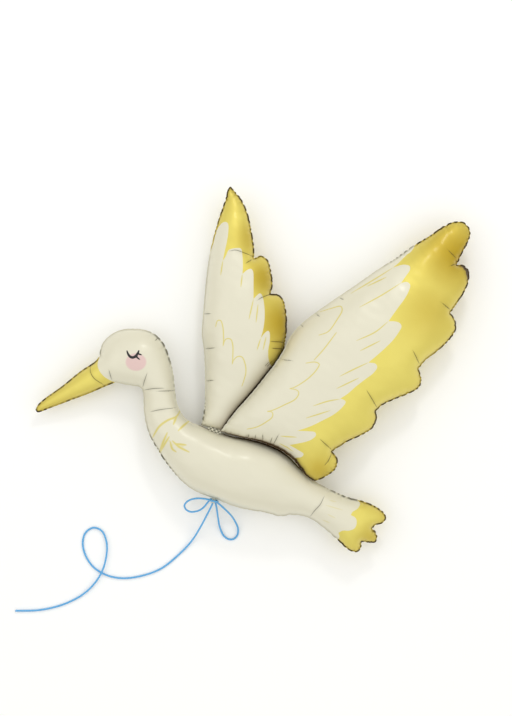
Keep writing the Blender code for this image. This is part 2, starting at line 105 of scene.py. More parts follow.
# The filler stem at the belly: its root and lean, and its size.
STEM_PLACE = (-38.0, -128.4)
STEM_LEAN = math.radians(-107)
STEM_WIDTH = 0.010
STEM_THICKNESS = 0.007
STEM_LENGTH = 0.013
STEM_PLEATS = 3.5  # half waves from its middle to each side
STEM_PLEAT_SHARE = 0.18  # of its thickness
STEM_RISE = 0.002  # the film rises to the stem's thickness over this far

# The cream of each print ends in feather tips, the runs of one line from edge to edge. Past it the film is
# yellow. The point after each line lies on the yellow side.
BEAK_END = [
    [(-153, 24), (-153.3, 14), (-154, 8), (-154, 4), (-152, -1), (-148, -6), (-143, -9.5), (-135, -14)],
]
BEAK_SIDE = (-185, -20)
TAIL_TIPS = [
    [(97, -122), (100, -128), (106, -130.5), (108, -133.5), (105, -138), (100, -141), (98, -144)],
    [(98, -144), (103, -147), (104, -152), (102, -157), (96, -159.5), (90, -159.5), (86, -162)],
    [(86, -162), (87, -166), (86, -170), (80, -178)],
]
TAIL_SIDE = (118, -150)
FAR_TIPS = [
    [(-50, 104), (-41, 120), (-38, 130), (-35, 140), (-31, 145.5), (-27, 147.5), (-24, 146), (-23.5, 138),
     (-25, 127), (-27, 118), (-29, 108)],
    [(-29, 108), (-26, 113), (-23, 119), (-16, 121), (-11, 120.5), (-9.5, 114), (-9, 102), (-9.5, 95)],
    [(-9.5, 95), (-5, 99), (-1, 100.5), (1, 98), (1.5, 85), (1.5, 70)],
    [(1.5, 70), (5, 74), (8, 76), (10, 74), (12, 65), (12.5, 52), (11, 40), (8.5, 31)],
    [(8.5, 31), (12, 36), (16, 39), (17.5, 37), (17.5, 28), (16, 18), (18, 6), (26, 0)],
]
FAR_SIDE = (-12, 150)
NEAR_TIPS = [
    [(166, 132), (160, 120), (153, 114), (146, 107), (139, 101)],
    [(139, 101), (145, 103.5), (151, 104.5), (156, 103), (156, 99), (152, 93), (147, 86)],
    [(147, 86), (153, 87), (156, 84), (154, 77), (150, 70), (144, 62), (139, 55), (134, 48)],
    [(134, 48), (140, 48), (145, 46.5), (147, 43), (144, 37), (138, 29), (131, 22), (122, 14), (114, 7.5)],
    [(114, 7.5), (121, 6.5), (123, 3), (119, -3), (111, -9), (102, -16), (94, -23), (86, -28.3)],
    [(86, -28.3), (89, -28.5), (92, -31), (89, -36), (81, -43), (70, -49), (60, -54), (51, -57.5),
     (44, -59.5)],
    [(44, -59.5), (56, -60), (62, -61), (63, -64), (59, -68), (53, -70.5), (44, -72.5), (37, -73.8)],
    [(37, -73.8), (44, -78), (51, -83), (49, -86), (44, -87), (34, -89)],
]
NEAR_SIDE = (180, 80)

# Pen strokes in ochre. They run from a fine end inside a feather to its tip, or along a feather's edge.
NEAR_STROKES = [
    [(86, -6), (100, 1), (114, 7.5)],
    [(83, -18), (105, -7.5)],
    [(60, -35), (74, -30.5), (86, -28.3)],
    [(53, -47), (77, -39.5)],
    [(28, -65), (44, -66)],
    [(27, -72.5), (34, -76), (41, -80.5)],
    [(98, 76), (123, 91), (139, 101)],
    [(114, 83), (133, 92)],
    [(106, 62), (128, 74), (147, 86)],
    [(102.5, 29), (121, 37.5), (134, 48)],
    [(106, 19), (126, 29)],
]
FAR_STROKES = [
    [(-3, 50), (1.5, 70)],
    [(4, 47), (6, 65)],
    [(5, 20), (8.5, 31)],
    [(11, 20), (14, 33)],
    [(-31, 94), (-29, 108)],
    [(-11, 82), (-9.5, 95)],
]
TAIL_STROKES = [
    [(77, -129.5), (84, -131)],
    [(73, -134), (90, -139)],
    [(75, -143), (83, -147)],
    [(70, -149), (78, -152)],
]
NEAR_COVERTS = [
    [(68, 58), (78, 61), (88, 63), (89, 59), (84, 50), (75, 38), (66, 34.5)],
    [(83, 37), (70, 20), (61, 10)],
    [(53, 7), (62, 8), (66, 6), (63, 0), (54, -9), (41, -17), (37, -18)],
    [(37, -18), (44, -19.5), (46, -22), (43, -28), (32, -34), (20, -39.5), (15, -40.5)],
    [(15, -40.5), (20, -41.5), (20, -46), (14, -51), (5, -56), (-5, -58.5)],
]
FAR_COVERTS = [
    [(-36, 43), (-34, 49), (-31, 49), (-29, 44), (-28, 32), (-28.5, 24)],
    [(-28.5, 24), (-27, 29), (-25, 31), (-21, 30.5), (-19, 25), (-19, 12), (-19.5, 6)],
    [(-19.5, 6), (-18, 10), (-14, 13.5), (-10, 13), (-7, 7), (-6, -2), (-8, -10), (-10, -16)],
]
NECK_BAND = [
    [(-72, -41), (-75, -46), (-84, -50), (-92, -56), (-99, -67)],
    [(-63, -51), (-69, -56), (-73, -60)],
    [(-75, -46), (-78, -54)],
    [(-84, -62), (-91, -78), (-93, -83)],
    [(-82, -66), (-89, -77), (-92, -82.5)],
    [(-79, -70), (-72, -76), (-62, -81)],
    [(-76, -73), (-65, -74)],
    [(-81, -71), (-79, -78), (-75, -81)],
]
EYELID = [
    [(-124, 19), (-122.6, 15.5), (-120.6, 13.2), (-118, 12.5), (-115.4, 13.8), (-113.4, 16.4),
     (-112, 19.4)],
]
LASHES = [[(-114.4, 16.8), (-109.2, 15)], [(-115.6, 14), (-111.2, 10.4)]]
CHEEK_PLACE = (-115, 8)
CHEEK_RADII = (11.0, 9.3)

# The pens: half a line's width where it is widest, and the share by which it thins towards its ends.
FEATHER_PEN = (0.0017, 0.8)
SCALLOP_PEN = (0.0015, 0.4)
TAIL_PEN = (0.0012, 0.8)
BAND_BRUSH = (0.0028, 0.55)
LID_PEN = (0.0036, 0.55)
LASH_PEN = (0.0023, 0.6)
TAIL_FAINTNESS = -0.0002  # the tail's strokes never reach full ink
BAND_SOFTNESS = 0.5  # the neck band's edges are so much less steep

# Creases in the films: folds across the neck and beak, and the short ones that run in from the notches.
BODY_CREASES = [
    [(-162, 4), (-161.5, -2), (-158, -8), (-153, -12), (-148, -15)],
    [(-142.5, 0), (-140, -10)],
    [(-104, -3), (-107, -11), (-109.5, -18)],
    [(-94, 32), (-97, 29)],
    [(-108, -20), (-98, -18.5), (-87, -18)],
    [(-94, -21), (-77, -20.5)],
    [(-101, -41.5), (-92, -39.5), (-76, -37.5)],
    [(72, -125), (68, -133), (62, -140), (58, -146)],
]
FAR_CREASES = [
    [(-48, 56), (-41, 56)],
    [(-47, 21), (-37, 22)],
    [(-46, -11), (-38, -10)],
    [(2, 113), (-9, 117), (-16, 119), (-23, 118)],
    [(0.5, 110.5), (-6, 106)],
    [(18.5, 75.5), (10, 72), (6, 69.5)],
    [(34, 27), (26, 28), (18, 28.5)],
    [(30, 21), (20, 21.5)],
    [(20.5, 9.5), (15, 3)],
    [(17, 8), (13, 3.5)],
]
NEAR_CREASES = [
    [(87, 72), (91, 70)],
    [(63, 57), (67, 53)],
    [(48, 46), (51, 42.5)],
    [(29, 10.5), (39, 9.5)],
    [(203, 111), (195, 119)],
    [(203, 105.5), (197, 103.5)],
    [(197, 60), (188, 66.5)],
    [(166.5, 6), (159, 19)],
    [(124, -37), (113, -20)],
    [(79, -79), (67, -68)],
    [(79, -83), (76, -90), (72, -94.5)],
    [(21, -74), (26, -64)],
    [(18, -72.5), (20, -66.5)],
    [(10.6, -70), (10.6, -63.6)],
    [(3, -69), (3.6, -64)],
    [(-4, -67.5), (-3, -63.2)],
]

# Painted shade in the deep valleys beside the near wing's root: each has its line, how far its dark reaches
# to each side where it is widest, and how far a painted dusk shade fades out from there.
BODY_VALLEY_SHADE = [
    ([(-40, -60.5), (-22, -66), (-2, -69.5), (18, -75.5), (33, -83.5), (47, -97), (61, -110)],
     0.0034, 0.005),
    ([(-53, -55), (-43, -59), (-33, -62)], 0.0014, 0.004),
]
FAR_VALLEY_SHADE = [([(-31.5, -61), (-17.5, -42.5), (-2, -25), (13, -6.5), (24, 8), (31.5, 20)], 0.0044, 0.045)]
NEAR_VALLEY_SHADE = [
    ([(62.5, -110.5), (54.5, -105.5), (46.5, -95.5), (37.5, -86), (25.5, -78.2), (9, -71.5), (-8, -67.4)],
     0.0066, 0.012),
    ([(9, -71.5), (-8, -67.4), (-22.5, -64.2), (-31.5, -61)], 0.0024, 0.008),
    ([(209, 104), (214.5, 100.5), (216, 90)], 0.0062, 0.012),
]

# Where the seam puckers most: x, y, how far that reaches, and how strongly, 1 being the most.
BODY_PUCKERS = [
    (-190, -22, 45, 0.2), (-152, 18, 9, 0.6), (-88, 22, 24, 0.9), (-77, -15, 20, 0.5),
    (-90, -85, 34, 0.8), (-50, -122, 20, 0.3), (20, -146, 50, 0.4), (118, -160, 34, 1.0),
    (95, -180, 20, 0.9), (95, -127, 30, 0.8),
]
FAR_PUCKERS = [
    (-24, 182, 40, 0.9), (0, 145, 34, 1.0), (19, 95, 30, 1.0), (34, 50, 45, 1.0), (25, 5, 25, 0.9),
    (-48, -45, 18, 0.8),
]
NEAR_PUCKERS = [
    (205, 140, 50, 1.0), (150, 116, 24, 0.7), (216, 95, 34, 1.0), (202, 40, 34, 1.0), (166, -14, 28, 0.9),
    (122, -52, 28, 0.9), (83, -95, 26, 0.9), (40, -88, 34, 0.7), (-8, -66, 40, 0.5), (20, 0, 30, 0.3),
]
CALM = 0.16  # how strongly a seam puckers everywhere else

# Painted reflection: where the yellow film mirrors a deeper gold, x, y, how far that reaches, and its
# share.
GOLD_REFLECTIONS = [
    (202, 116, 36, 1.0), (176, 60, 30, 0.5), (66, -98, 14, 0.7), (118, -168, 14, 0.5), (-20, 165, 20, 0.25),
    (-2, 132, 18, 0.6), (10, 92, 18, 0.85), (27, 48, 24, 0.9),
]

# The weld patch, and the ribbon's three runs after the straight starts at its knot. Each of their points
# has its x and y, its share of the drop from the knot to the floor, and how many ribbon diameters it is
# lifted to pass over the ribbon itself.
PATCH_PLACE = (-37.5, -60.3)
PATCH_TURN = math.radians(-21)
PATCH_LENGTH = 0.040
PATCH_WIDTH = 0.012
PATCH_THINNED = 0.6  # the pressed film's share of the solid patch's thickness
RIBBON_TAIL = [
    (-46, -147, 0.66, 0), (-52.3, -159, 0.34, 0), (-61, -173, 0.10, 0), (-73, -186, 0.01, 0),
    (-92, -201.3, 0, 0), (-112, -208.8, 0, 0), (-131, -211.2, 0, 0), (-146, -208.6, 0, 0),
    (-160, -200.6, 0, 0), (-168.6, -188.5, 0, 0), (-171.6, -175.5, 0, 0), (-168.7, -165, 0, 0),
    (-160.6, -160, 0, 0.06), (-152.3, -163.2, 0, 0.34), (-147.2, -175.5, 0, 0.80), (-147.9, -191, 0, 1.12),
    (-152.6, -205.5, 0, 1.16), (-161, -218, 0, 0.78), (-173, -228.6, 0, 0.28), (-192, -238, 0, 0.03),
    (-215, -243.4, 0, 0), (-240, -244.3, 0, 0),
]
BOW_LEFT = [
    (-49.5, -128.6, 1.00, 0), (-56.2, -128.7, 0.88, 0), (-63.3, -130.9, 0.76, 0), (-67.4, -134.8, 0.64, 0),
    (-67.8, -137.9, 0.57, 0), (-65.9, -140.9, 0.54, 0), (-61.6, -142.8, 0.55, 0), (-54.4, -141.7, 0.61, 0),
    (-49.1, -138.4, 0.72, 0),
]
BOW_RIGHT = [
    (-29.6, -137.0, 0.98, 0), (-22.9, -144.1, 0.67, 0), (-17.7, -152.1, 0.25, 0), (-14.2, -160.9, 0.06, 0),
    (-14.9, -167.4, 0.01, 0), (-18.5, -171.3, 0, 0), (-23.5, -171.7, 0, 0), (-28.6, -168.2, 0.01, 0),
    (-32.6, -159.3, 0.11, 0), (-34.3, -148.9, 0.40, 0), (-35.5, -138.8, 0.75, 0),
]

# How each bow's first and last strand leaves the knot, in degrees: how far round the stem from the right
# its place is, and how far the strand leans from there along the stem.
BOW_LEFT_ENDS = [(165, 5), (210, 42)]
BOW_RIGHT_ENDS = [(10, 18), (-45, 55)]

TAIL_START = 0.008  # the tail's straight start at the knot
BOW_START = 0.003  # each strand's straight start at the knot
TOUCH_GAP = 0.0003  # between two pieces of the ribbon
FLOOR_CLEARANCE = 0.0002  # under the ribbon

# How fine the films' meshes are.
RIM_STEP = 0.0021  # along the outline
RING_DEPTHS = (0.00015, 0.0006, 0.0014, 0.0028, 0.0050, 0.0082, 0.0125, 0.0180)  # rings inside the weld
RING_STEPS = (None, None, None, 0.0023, 0.0027, 0.0034, 0.0042, 0.0052)
KEPT_RINGS = 5  # so many rings, from the rim on, are kept as edges of the mesh
FILL_STEP = 0.0062
LINE_STEP = 0.0034
LINE_ROWS = (0.0, -0.0013, 0.0013, -0.0030, 0.0030)  # beside a drawn line, on both sides
PARALLEL_SLACK = 0.00006

# How the films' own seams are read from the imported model.
SEAM_NODE_THICKNESS = 0.0014  # a node is no thicker than this at its seam
SEAM_BLEND = 0.010  # heights are blended over this far

# How a film that is short of tension moves: sets of waves with their shortest and longest length, and
# their height. It has no room to move where it is low over its seam.
SLACK_WAVES = ((0.060, 0.095, 0.00048), (0.026, 0.042, 0.00012))
SLACK_COUNT = 5
SLACK_SEED = 21
SLACK_ROOM = 0.030

# How a seam bends and draws in where it puckers: heights, and lengths along the seam.
SEAM_WAVE = 0.0022
SEAM_WAVE_LENGTH = 0.06
SEAM_WAVE_SEED = 5
SEAM_PINCH = 0.0034
PINCH_WIDTH = 0.0042
PINCH_MEAN = 0.3  # taken off, so that the outline keeps its size on the whole
PUCKER_SEEDS = (11, 12)  # of the upper film and the lower
PLEAT_SEED = 13

# How the near wing leans on what lies under it.
LEAN_GAP = 0.003
LEAN_REACH = 0.009

# A drawn crease is a sharp groove in the middle of a shallow fold, which has a share of its depth.
GROOVE_WIDTH = 0.0011
FOLD_WIDTH = 0.006
FOLD_SHARE = 0.28
ON_LINE = 0.00001  # nearer than this to a line, a point is on it

# Across a seam, its dark line, a painted reflection and shade, is full to the first distance from the edge
# and gone at the second. Puckers deeper than a share of the deepest break it.
SEAM_DARK = (0.0030, 0.0054)
SEAM_DARKEST = 0.88
SEAM_START = 0.1  # the cream's seam is dark where it puckers by this much more than the calm one
SEAM_GROWTH = 1.6  # how fast it darkens from there
BREAK_DEPTH = 0.4
BREAK_WIDTH = 0.0034
YELLOW_EDGE = 0.002  # the seam's line grows over this far where the yellow starts

# Along the yellow's seam, the painted dark line wanders about a mean by a swing, within limits.
WANDER_LENGTH = 0.22
WANDER_MEAN = 0.75
WANDER_SWING = 0.9
WANDER_LIMITS = (0.1, 0.95)
WANDER_SEED = 7

# How much painted shade darkens the film in its creases, its puckers and its fine pleats.
CREASE_SHADE = 0.9
PUCKER_SHADE = 0.28
PLEAT_SHADE = 0.30
PUCKER_FADE = 0.020  # how far a pucker's shade climbs the film
# The yellow film's painted reflection of a deeper gold near its seam: how far it climbs, and its share
# there.
GOLD_REFLECTION_FADE = 0.016  # how far the yellow film's deeper gold climbs from its seam
GOLD_REFLECTION_AT_SEAM = 0.55

# A side of the print is closed so far beyond its line, and that much wider there.
FAR_AWAY = 2.0
SPREAD = 10.0

CORD_SIDES = 14
CORD_STEP = 0.0022
RIB_SHADE = 0.78  # the blue's brightness between two ribs
KNOT_STEPS = 96
KNOT_SWING = 1.05  # how far the knot's turns lie apart, in radii of the cord

# The tail's end was sealed by heat: a bead, and a narrower tip.
BEAD_SWELL = 0.06
BEAD_PLACE = 0.0022
BEAD_LENGTH = 0.0018
TIP_LENGTH = 0.0008
TIP_SHARE = 0.75

# The crimp in the weld patch: its pitch along the patch, its height, and how near to a fold's bottom its
# painted shade line starts and is full. The patch's edge has painted shade too.
CRIMP_PITCH = 0.0115
CRIMP_HEIGHT = 0.00012
CRIMP_DARK = (0.52, 0.30)
PATCH_EDGE_DARK = (0.82, 0.92)  # as shares of the patch's half length and half width
PATCH_EDGE_SHADE = 0.7
PATCH_COLUMNS = 81
PATCH_ROWS = 25

# The picture's middle in the drawing, its height in units, and the height over the floor where a unit of
# the drawing is a unit of the picture.
PICTURE_MIDDLE = (4.0, 12.0)
PICTURE_UNITS = 716.0
SEAM_LEVEL = 0.072
SENSOR_SIDE = 36.0  # in millimetres, as the lens is

# The soft lights, which all face the balloon: name, place from there, sides, and share of the key power.
SOFTBOXES = [
    ("key_softbox", (0.55, 2.3, 2.1), (0.45, 0.35), 1.0),
    ("left_softbox", (-2.4, 0.2, 2.2), (1.2, 1.6), 0.35),
    ("right_softbox", (2.4, -0.6, 2.2), (1.0, 1.4), 0.25),
]
BALLOON_LEVEL = 0.08
FLOOR_DROP = 0.0005  # the floor lies so far below what rests on it

# The edges of the print and the painted valley shade: distances past a line where one gives way to the
# next.
PRINT_EDGE = (-0.0004, 0.0004)
PEN_EDGE = (-0.0010, 0.0009)
CHEEK_EDGE = (-0.03, 0.17)  # a share of the cheek's radius
VALLEY_SHADE_EDGE = (-0.0014, 0.0008)
VALLEY_SHADE_TAPER = 0.85  # the share by which a valley's dark line thins towards its ends
WHOLE = (0.0, 1.0)  # for what is a share already
DUSK_SHADE_MOST = 0.5  # how much of the film's own colour the dusk takes away


def linear(colour):
    """An sRGB hex colour as linear red, green, blue and alpha."""
    channels = [int(colour[i : i + 2], 16) / 255 for i in (1, 3, 5)]
    return (*[c / 12.92 if c <= 0.04045 else ((c + 0.055) / 1.055) ** 2.4 for c in channels], 1.0)


def length_property(name, description, default):
    """A length in metres."""
    return FloatProperty(name=name, description=description, default=default, precision=4, unit="LENGTH")


def swell_property(name, default):
    """How round an envelope is."""
    about = "Roundness, 1 for a full tube"
    return FloatProperty(name=name, description=about, default=default, min=0, max=1, subtype="FACTOR")


def colour_property(name, description, default):
    """A colour, given as an sRGB hex value."""
    return FloatVectorProperty(
        name=name, description=description, default=linear(default), size=4, subtype="COLOR")


class StorkFilmSettings(bpy.types.PropertyGroup):
    """The sizes and the colours of the printed films."""

    weld_width: length_property("Weld width", "Width of the welded margin", 0.0034)
    weld_thickness: length_property("Weld thickness", "Both films in the margin", 0.0005)
    body_swell: swell_property("Body swell", 0.92)
    far_swell: swell_property("Far wing swell", 0.78)
    near_swell: swell_property("Near wing swell", 0.62)
    pucker_gap: length_property("Pucker gap", "Usual length of seam between two puckers", 0.017)
    pucker_depth: length_property("Pucker depth", "Depth of the strongest pucker", 0.0026)
    pucker_reach: length_property("Pucker reach", "How far a pucker runs up the film", 0.030)
    pleat_gap: length_property("Pleat gap", "Usual length of seam between two fine pleats", 0.0068)
    pleat_depth: length_property("Pleat depth", "Depth of the strongest fine pleat", 0.0006)
    crease_depth: length_property("Crease depth", "Depth of a fold in the film", 0.0016)
    cream: colour_property("Cream", "Cream ink", "#DFDBC5")
    yellow: colour_property("Yellow", "Yellow film", "#E6D86E")
    # Painted reflection: the deeper gold that the yellow film shows where it would mirror something dark.
    gold_reflection: colour_property("Gold", "Yellow film at its deepest", "#BFA21E")
    ochre: colour_property("Ochre", "Pen strokes", "#D7CA76")
    blush: colour_property("Blush", "The cheek", "#DEC0BA")
    black: colour_property("Black", "The closed eye", "#050403")
    # Painted reflection and shade: the seams' dark lines, and the darker film in folds, puckers and pleats.
    shade_grey: colour_property("Seam grey", "Seams and folds in the cream film", "#57543F")
    shade_brown: colour_property("Seam brown", "Seams and folds in the yellow film", "#3B2808")
    # Painted shade: the bottom of a deep valley, and the film that faces into one.
    valley: colour_property("Valley", "The bottom of a deep valley", "#4E3A1E")
    dusk_shade: colour_property("Dusk", "Film that faces into a deep valley", "#6E5226")


class StorkRibbonSettings(bpy.types.PropertyGroup):
    """The size and the colour of the ribbon."""

    diameter: length_property("Diameter", "Thickness of the satin cord", 0.005)
    rib_length: length_property("Rib length", "Between two ribs, drawn coarser than a real weave", 0.0042)
    blue: colour_property("Blue", "The satin's colour", "#5DB2EC")


class StorkStageSettings(bpy.types.PropertyGroup):
    """The floor, the lights and the camera."""

    camera_height: length_property("Camera height", "Camera above the floor", 5.2)
    floor_side: length_property("Floor side", "Width of the floor", 60.0)
    floor_colour: colour_property("Floor", "Pale floor", "#FDFDFB")
    key_power: FloatProperty(
        name="Key light", description="Power of the largest light", default=12.0, unit="POWER")
    sky: FloatProperty(name="Room light", description="Strength of the room's own light", default=1.05)
    walls: colour_property("Walls", "The room at the floor's level", "#C9C5BA")
    overhead: colour_property("Overhead", "The room above", "#FFFFFF")


def smooth_run(points, per_span=10):
    """A centripetal Catmull-Rom curve through the points, as many short steps."""
    p = np.array(points, float)
    p = np.vstack([2 * p[0] - p[1], p, 2 * p[-1] - p[-2]])
    knots = np.concatenate([[0], np.cumsum(np.linalg.norm(np.diff(p, axis=0), axis=1) ** 0.5)])
    curve = []
    for i in range(1, len(p) - 2):
        t0, t1, t2, t3 = knots[i - 1 : i + 3]
        t = np.linspace(t1, t2, per_span, endpoint=False)[:, None]
        a1 = (t1 - t) / (t1 - t0) * p[i - 1] + (t - t0) / (t1 - t0) * p[i]
        a2 = (t2 - t) / (t2 - t1) * p[i] + (t - t1) / (t2 - t1) * p[i + 1]
        a3 = (t3 - t) / (t3 - t2) * p[i + 1] + (t - t2) / (t3 - t2) * p[i + 2]
        b1 = (t2 - t) / (t2 - t0) * a1 + (t - t0) / (t2 - t0) * a2
        b2 = (t3 - t) / (t3 - t1) * a2 + (t - t1) / (t3 - t1) * a3
        curve.append((t2 - t) / (t2 - t1) * b1 + (t - t1) / (t2 - t1) * b2)
    return np.vstack([*curve, p[-2][None]])


def lengths_along(curve):
    """How far along the curve each of its points is."""
    return np.concatenate([[0], np.cumsum(np.linalg.norm(np.diff(curve, axis=0), axis=1))])


def evenly(curve, step):
    """The curve again, with points about step apart and its own two ends."""
    along = lengths_along(curve)
    at = np.linspace(0, along[-1], max(2, round(along[-1] / step) + 1))
    return np.stack([np.interp(at, along, curve[:, k]) for k in range(curve.shape[1])], axis=1)


def box_of(nodes):
    """The lowest and the highest corner round some CAD nodes."""
    corners = np.array([[list(corner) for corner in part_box(node)] for node in nodes])
    return corners[:, 0].min(0), corners[:, 1].max(0)


def drawing_scale():
    """The length of a drawing unit in metres, and where the drawing's middle lies in the frame."""
    low, high = box_of(["body_envelope", "far_wing", "near_wing"])
    unit = (high[0] - low[0]) / UNITS_ACROSS
    drawn = np.vstack([smooth_run(run) for run in [*BODY, *FAR_WING, *NEAR_WING]])
    middle = (low[:2] + high[:2]) / 2 - (drawn.min(0) + drawn.max(0)) / 2 * unit
    return unit, middle


UNIT, MIDDLE = drawing_scale()


def placed(points):
    """Points of the drawing in metres in the frame."""
    return np.asarray(points, float)[..., :2] * UNIT + MIDDLE


def stem_axes():
    """The filler stem's root, and its directions out and sideways."""
    out = np.array([math.cos(STEM_LEAN), math.sin(STEM_LEAN)])
    return placed(STEM_PLACE), out, np.array([-out[1], out[0]])


def body_runs():
    """The body's outline in metres, with the filler stem set into the belly between its two long runs."""
    root, out, side = stem_axes()
    half, end = side * STEM_WIDTH / 2, root + out * STEM_LENGTH
    right, end_right, end_left, left = root + half, end + half, end - half, root - half
    runs = [placed(run) for run in BODY]
    runs[BELLY_RUN] = np.vstack([runs[BELLY_RUN], right])
    runs[BELLY_RUN + 1] = np.vstack([left, runs[BELLY_RUN + 1]])
    stem = [np.array([right, end_right]), np.array([end_right, end_left]), np.array([end_left, left])]
    return runs[: BELLY_RUN + 1] + stem + runs[BELLY_RUN + 1 :]


def closed(points):
    """The ring's points with the first again at its end."""
    return np.vstack([points, points[:1]])


def ring_of(runs):
    """A closed outline in metres, clockwise, with its runs' ends kept as corners."""
    return np.vstack([evenly(smooth_run(run), RIM_STEP)[:-1] for run in runs])


def inward_normals(ring):
    """The direction into the ring at each of its points, along the bisector. The ring runs clockwise."""
    ahead = np.roll(ring, -1, axis=0) - ring
    ahead /= np.linalg.norm(ahead, axis=1)[:, None]
    behind = np.roll(ahead, 1, axis=0)
    along = ahead + behind
    along /= np.linalg.norm(along, axis=1)[:, None]
    return np.stack([along[:, 1], -along[:, 0]], axis=1)


def nearest_on(points, curve, chunk=1500):
    """For each point its distance to the curve, and the curve's segment and the share along it there."""
    a, d = curve[:-1], np.diff(curve, axis=0)
    squared = np.maximum((d * d).sum(1), 1e-18)
    found = []
    for start in range(0, len(points), chunk):
        x = points[start : start + chunk, None, 0] - a[:, 0]
        y = points[start : start + chunk, None, 1] - a[:, 1]
        share = np.clip((x * d[:, 0] + y * d[:, 1]) / squared, 0, 1)
        away = (x - share * d[:, 0]) ** 2 + (y - share * d[:, 1]) ** 2
        best = away.argmin(1)
        row = np.arange(len(best))
        found.append(np.column_stack([np.sqrt(away[row, best]), best, share[row, best]]))
    distance, segment, share = np.vstack(found).T
    return distance, segment.astype(int), share


def inside(points, ring, chunk=1500):
    """Whether each point lies inside the ring, by counting the ring's edges to its right."""
    a, b = ring, np.roll(ring, -1, axis=0)
    rise = np.where(b[:, 1] == a[:, 1], 1e-12, b[:, 1] - a[:, 1])
    slope = (b[:, 0] - a[:, 0]) / rise
    found = []
    for start in range(0, len(points), chunk):
        x, y = points[start : start + chunk, :1], points[start : start + chunk, 1:2]
        crosses = (a[:, 1] > y) != (b[:, 1] > y)
        found.append((crosses & (x < a[:, 0] + (y - a[:, 1]) * slope)).sum(1) % 2 == 1)
    return np.concatenate(found)


def parallel_ring(rim, depth, step):
    """The rim's parallel curve at depth inside it.

    Each point moves in along its bisector. Those that come nearer to another stretch of the rim are left
    out, and a step spaces the rest evenly again.
    """
    moved = rim + inward_normals(rim) * depth
    clear = inside(moved, rim) & (nearest_on(moved, closed(rim))[0] > depth - PARALLEL_SLACK)
    moved = moved[clear]
    return moved if step is None else evenly(closed(moved), step)[:-1]


def fill_points(rim, depth):
    """A staggered lattice of points inside the rim, at least depth from it."""
    low, high = rim.min(0), rim.max(0)
    rows = np.arange(low[1], high[1], FILL_STEP * math.sqrt(3) / 2)
    x, y = np.meshgrid(np.arange(low[0], high[0], FILL_STEP), rows)
    x = x + (np.arange(len(rows)) % 2)[:, None] * FILL_STEP / 2
    fill = np.stack([x.ravel(), y.ravel()], axis=1)
    fill = fill[inside(fill, rim)]
    return fill[nearest_on(fill, closed(rim))[0] > depth]


def line_rows(curve):
    """A drawn line's own row of points and the rows beside it, each moved along the line's normals."""
    points = evenly(curve, LINE_STEP)
    along = np.gradient(points, axis=0)
    along /= np.maximum(np.linalg.norm(along, axis=1), 1e-9)[:, None]
    across = np.stack([-along[:, 1], along[:, 0]], axis=1)
    return [points + across * offset for offset in LINE_ROWS]


def flat_mesh(rim, weld_width, lines):
    """Points and triangles of the flat envelope, seen from above, and its weld line.

    Rings parallel to the rim carry the steep shoulder of the film and a lattice fills the rest. Rows of
    points along the drawn lines make print and creases come out sharp.
    """
    weld = parallel_ring(rim, weld_width, None)
    rings = [rim, weld]
    rings += [parallel_ring(rim, weld_width + depth, step) for depth, step in zip(RING_DEPTHS, RING_STEPS)]
    fill = fill_points(rim, weld_width + RING_DEPTHS[-1] + FILL_STEP * 0.7)
    for line in lines:
        fill = fill[nearest_on(fill, line)[0] > LINE_ROWS[-1] + FILL_STEP * 0.3]
    points, edges, count = [], [], 0
    for number, ring in enumerate(rings):
        index = np.arange(len(ring)) + count
        if number < KEPT_RINGS:
            edges.append(np.stack([index, np.roll(index, -1)], axis=1))
        points.append(ring)
        count += len(ring)
    for line in lines:
        for row in line_rows(line):
            row = row[inside(row, rim)]
            points.append(row)
            count += len(row)
    points.append(fill)
    sites = [Vector(p) for p in np.vstack(points)]
    made, _, faces, *_ = delaunay_2d_cdt(sites, np.vstack(edges).tolist(), [], 0, 1e-7)
    made = np.array(made)[:, :2]
    triangles = np.array([face for face in faces if len(face) == 3])
    return made, triangles[inside(made[triangles].mean(1), rim)], weld


def corner_arrays(points, triangles):
    """The three corners of each triangle, as three arrays."""
    return points[triangles[:, 0]], points[triangles[:, 1]], points[triangles[:, 2]]


def stretched_film(points, triangles, free, load, held, rounds=4000, small=1e-9):
    """Solves -div grad u = load for u on the flat mesh, with u as held outside free.

    Linear elements with cotangent weights, solved by conjugate gradients with a diagonal scaling.
    """
    a, b, c = corner_arrays(points, triangles)
    area = np.abs((b[:, 0] - a[:, 0]) * (c[:, 1] - a[:, 1]) - (b[:, 1] - a[:, 1]) * (c[:, 0] - a[:, 0])) / 2
    area = np.maximum(area, 1e-14)
    sides = (c - b, a - c, b - a)
    n = len(points)
    ends, weights = [], []
    for i, j in ((0, 1), (1, 2), (2, 0)):
        ends.append(triangles[:, [i, j]])
        weights.append(-(sides[i] * sides[j]).sum(1) / (4 * area))
    (first, second), weight = np.vstack(ends).T, np.concatenate(weights)
    pull = sum(np.bincount(triangles[:, k], area / 3, n) for k in range(3)) * load

    def spread(u):
        flow = weight * (u[first] - u[second])
        return np.bincount(first, flow, n) - np.bincount(second, flow, n)

    scale = np.bincount(first, weight, n) + np.bincount(second, weight, n)
    scale = np.where(scale > 0, scale, 1.0)
    u = np.where(free, 0.0, held)
    rest = np.where(free, pull - spread(u), 0.0)
    step = rest / scale
    value = start = (rest * step).sum()
    for _ in range(rounds):
        if value <= small * small * start or value == 0:
            break
        moved = np.where(free, spread(step), 0.0)
        reach = value / (step * moved).sum()
        u = u + reach * step
        rest = rest - reach * moved
        scaled = rest / scale
        last, value = value, (rest * scaled).sum()
        step = scaled + value / last * step
    return u


